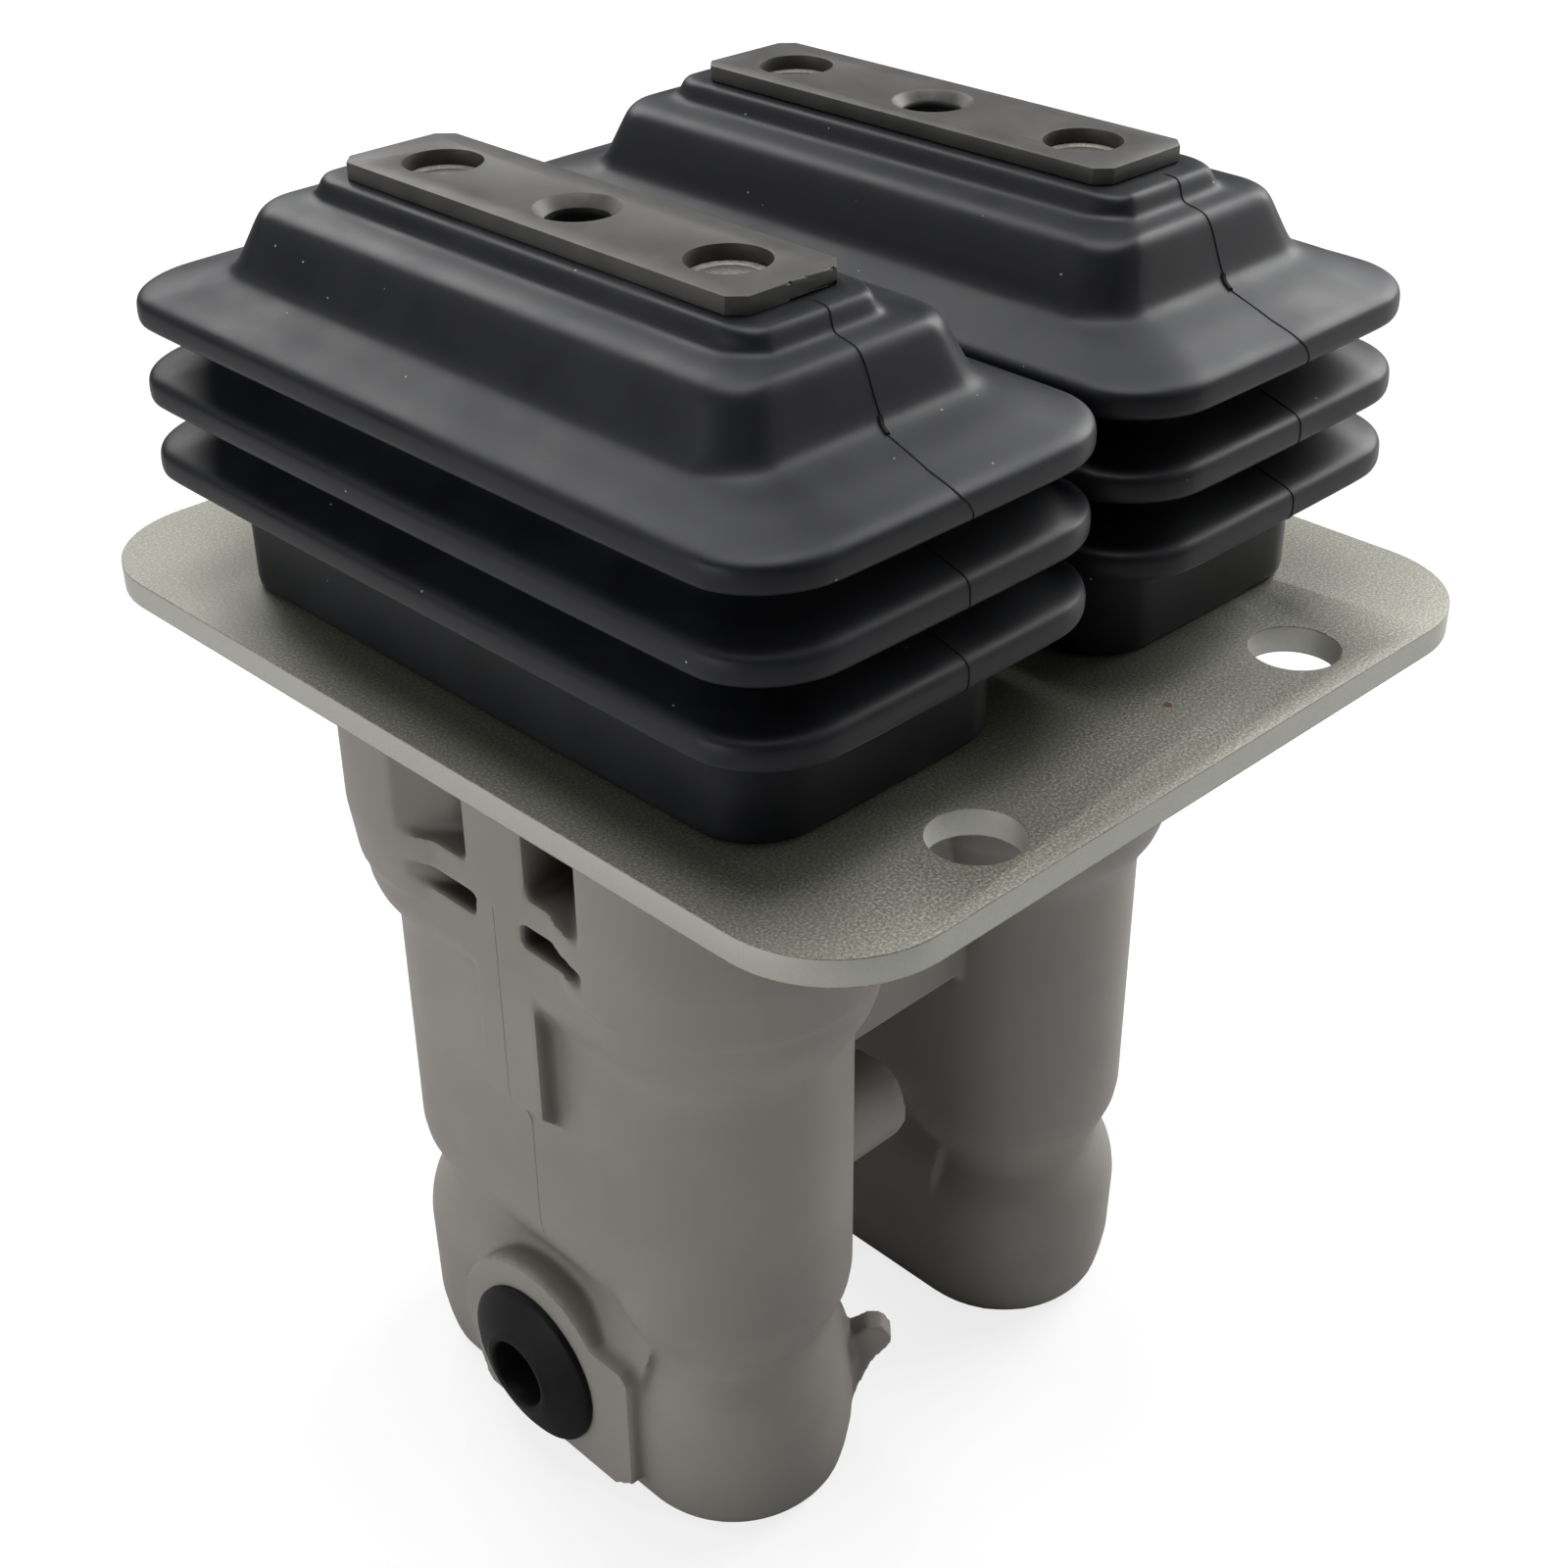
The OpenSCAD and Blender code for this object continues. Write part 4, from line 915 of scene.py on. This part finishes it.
class PEDALVALVE_OT_inner_pieces(bpy.types.Operator):
    """Gives the steel, bronze and rubber pieces inside their finishes"""
    bl_idname = "pedalvalve.inner_pieces"
    bl_label = "Inner pieces"

    def execute(self, context):
        # Screws and brackets are zinc plated: pale and satin.
        zinc_steel = plain_metal("zinc_plated_steel", "#9a9a96", "#b4b4af", 0.4, 0.9, 1.5)
        # Shafts, rods and spools are ground: smooth, so that they shine.
        ground_steel = plain_metal("ground_steel", "#a4a6a8", "#b8babb", 0.2, 1.0, 1.2)
        # Black oxide leaves the nuts nearly black with a dull gleam. The rockers take the same near-black as
        # painted shade, so that their heads read dark at the bottom of the pedal plates' centre holes.
        black_oxide_and_hole_shade = plain_metal("near_black_steel_and_hole_shade", "#2a2a2b", "#38383a", 0.45, 0.7, 1.5)
        # Oil darkens the drawn wire and makes it glossy.
        spring_wire = plain_metal("oiled_spring_wire", "#4c4d50", "#5e5f62", 0.35, 0.9, 0.8)
        # Sintered bushes are a dull yellow-brown, because oil fills their pores.
        bronze = plain_metal("sintered_bronze", "#8f6f42", "#a98653", 0.45, 0.9, 0.8)
        # Cast iron turned bright is smoother and paler than its cast skin, with fine turning marks.
        machined_iron = plain_metal("machined_cast_iron", "#8d8a85", "#a19e98", 0.38, 0.6, 0.7)
        soft_seal = moulded_rubber(context.scene.finish_colours)
        finishes = {
            "steel": zinc_steel, "rocker": black_oxide_and_hole_shade, "hard_steel": ground_steel,
            "black_steel": black_oxide_and_hole_shade, "spring_steel": spring_wire, "bronze": bronze, "rubber": soft_seal,
            "pedal_steel": black_oxide_and_hole_shade, "casting": machined_iron, "plate": zinc_steel, "plastic": black_oxide_and_hole_shade,
        }
        slots = {p["node"]: p["material_slot"] for p in frame["record"]["subparts"]}
        for node, obj in frame["nodes"].items():
            obj.data.materials.clear()
            # Painted shade: the rockers take the near-black finish in place of their own slot's, so that the
            # pedal plates' centre holes read dark.
            obj.data.materials.append(finishes["rocker" if node.endswith("_rocker") else slots[node]])
        for side, x in SIDES.items():
            for end, way in (("front", -1), ("rear", 1)):
                stack = f"{side}_{end}"
                for kind, share in (("return", 0), ("metering", SPOOL_SHARE), ("damping", 0)):
                    coil_spring(f"{stack}_{kind}", spring_wire)
        return {"FINISHED"}


def coil_spring(name, wire):
    """A copy of a spring's CAD node, shaded smooth and finished in its wire.
    """
    coils = copy_of_node(name + "_spring", name + "_coils")
    smooth(coils, 50)
    finish_piece(coils, wire, [name + "_spring"])
    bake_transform(coils)


def lay_floor(light_colour):
    """A floor that the camera sees nearly white, with the valve's shadow, and that lights the valve less."""
    clear_selection()
    bpy.ops.mesh.primitive_plane_add(size=FLOOR_SIZE, location=(0, 0, CAD_BOX[0][2]))
    floor = newest("floor")
    bake_place()
    paint = bpy.data.materials.new("white_floor")
    paint.use_nodes = True
    tree = paint.node_tree
    tree.nodes.clear()
    path = add_node(tree, "ShaderNodeLightPath")
    seen = colour_ramp(tree, path, "Is Camera Ray", ((0.0, light_colour), (1.0, "#ffffff")))
    matt = add_node(tree, "ShaderNodeBsdfDiffuse", None, {"Color": (seen, "Color")})
    white = add_node(tree, "ShaderNodeEmission", {"Color": (1, 1, 1, 1), "Strength": 1.0})
    # The floor's white is for the camera alone; the matt share keeps the valve's shadow.
    settings = {"operation": "MULTIPLY", 1: WHITE_SHARE}
    share = add_node(tree, "ShaderNodeMath", settings, {0: (path, "Is Camera Ray")})
    links = {"Fac": (share, "Value"), 1: (matt, "BSDF"), 2: (white, "Emission")}
    mix = add_node(tree, "ShaderNodeMixShader", None, links)
    add_node(tree, "ShaderNodeOutputMaterial", None, {"Surface": (mix, "Shader")})
    floor.data.materials.append(paint)


def light_world(scene):
    """A world that is white to the camera and a weak even light to everything else."""
    world = bpy.data.worlds.new("studio")
    scene.world = world
    world.use_nodes = True
    tree = world.node_tree
    tree.nodes.clear()
    path = add_node(tree, "ShaderNodeLightPath")
    soft = add_node(tree, "ShaderNodeBackground", {"Color": (1, 1, 1, 1), "Strength": WORLD_LIGHT})
    white = add_node(tree, "ShaderNodeBackground", {"Color": (1, 1, 1, 1), "Strength": 1.0})
    links = {"Fac": (path, "Is Camera Ray"), 1: (soft, "Background"), 2: (white, "Background")}
    mix = add_node(tree, "ShaderNodeMixShader", None, links)
    add_node(tree, "ShaderNodeOutputWorld", None, {"Surface": (mix, "Shader")})


def hang_lamps(power):
    """Round soft lamps that all point at the valve."""
    for name, place, size, share in LAMPS:
        clear_selection()
        bpy.ops.object.light_add(type="AREA", location=place)
        lamp = bpy.context.active_object
        lamp.name = name
        lamp.data.shape = "DISK"
        lamp.data.size = size
        lamp.data.energy = share * power
        lamp.rotation_euler = (-Vector(place)).to_track_quat("-Z", "Y").to_euler()


def place_camera(scene, lens):
    """The photo's camera, rolled about its own view."""
    turn, rise, roll = (math.radians(v) for v in CAMERA_ANGLES)
    back = Vector((math.sin(turn) * math.cos(rise), -math.cos(turn) * math.cos(rise), math.sin(rise)))
    level = Vector((math.cos(turn), math.sin(turn), 0))
    upright = back.cross(level)
    right = math.cos(roll) * level + math.sin(roll) * upright
    up = math.cos(roll) * upright - math.sin(roll) * level
    data = bpy.data.cameras.new("photo_camera")
    data.sensor_width = SENSOR
    data.lens = lens
    data.clip_start = 0.01
    camera = bpy.data.objects.new("photo_camera", data)
    scene.collection.objects.link(camera)
    place = Matrix.Translation(to_metres(CAMERA_PLACE))
    camera.matrix_world = place @ Matrix((right, up, back)).transposed().to_4x4()
    scene.camera = camera


class PEDALVALVE_OT_stage(bpy.types.Operator):
    """Sets the floor, the soft studio light and the camera"""
    bl_idname = "pedalvalve.stage"
    bl_label = "Stage"

    def execute(self, context):
        settings = context.scene.stage_settings
        lay_floor(settings.floor_colour)
        light_world(context.scene)
        hang_lamps(settings.light_power)
        place_camera(context.scene, settings.lens)
        context.scene.view_settings.view_transform = "Standard"
        return {"FINISHED"}


class PEDALVALVE_PT_panel(bpy.types.Panel):
    """Lists the pieces of the pedal valve"""
    bl_idname = "PEDALVALVE_PT_panel"
    bl_label = "Pedal Valve"
    bl_space_type = "VIEW_3D"
    bl_region_type = "UI"
    bl_category = "Pedal Valve"

    def draw(self, context):
        for operator in OPERATORS:
            self.layout.operator(operator.bl_idname)
        for group in ("finish_colours", "casting_sizes", "edge_sizes", "stage_settings"):
            settings = getattr(context.scene, group)
            for key in settings.bl_rna.properties.keys():
                if key not in ("rna_type", "name"):
                    self.layout.prop(settings, key)


GROUPS = {
    "finish_colours": FinishColours, "casting_sizes": CastingSizes,
    "edge_sizes": EdgeSizes, "stage_settings": StageSettings,
}
OPERATORS = (
    PEDALVALVE_OT_inner_pieces, PEDALVALVE_OT_casting, PEDALVALVE_OT_mounting_plate, PEDALVALVE_OT_boots,
    PEDALVALVE_OT_pedal_plates, PEDALVALVE_OT_port_plugs, PEDALVALVE_OT_stage,
)


def register():
    for cls in (*GROUPS.values(), *OPERATORS, PEDALVALVE_PT_panel):
        bpy.utils.register_class(cls)
    for name, group in GROUPS.items():
        setattr(bpy.types.Scene, name, bpy.props.PointerProperty(type=group))


def unregister():
    for name in GROUPS:
        delattr(bpy.types.Scene, name)
    for cls in (PEDALVALVE_PT_panel, *OPERATORS, *GROUPS.values()):
        bpy.utils.unregister_class(cls)


def main():
    register()
    bpy.ops.pedalvalve.inner_pieces()
    bpy.ops.pedalvalve.casting()
    bpy.ops.pedalvalve.mounting_plate()
    bpy.ops.pedalvalve.boots()
    bpy.ops.pedalvalve.pedal_plates()
    bpy.ops.pedalvalve.port_plugs()
    bpy.ops.pedalvalve.stage()
    clear_selection()


if __name__ == "__main__":
    main()
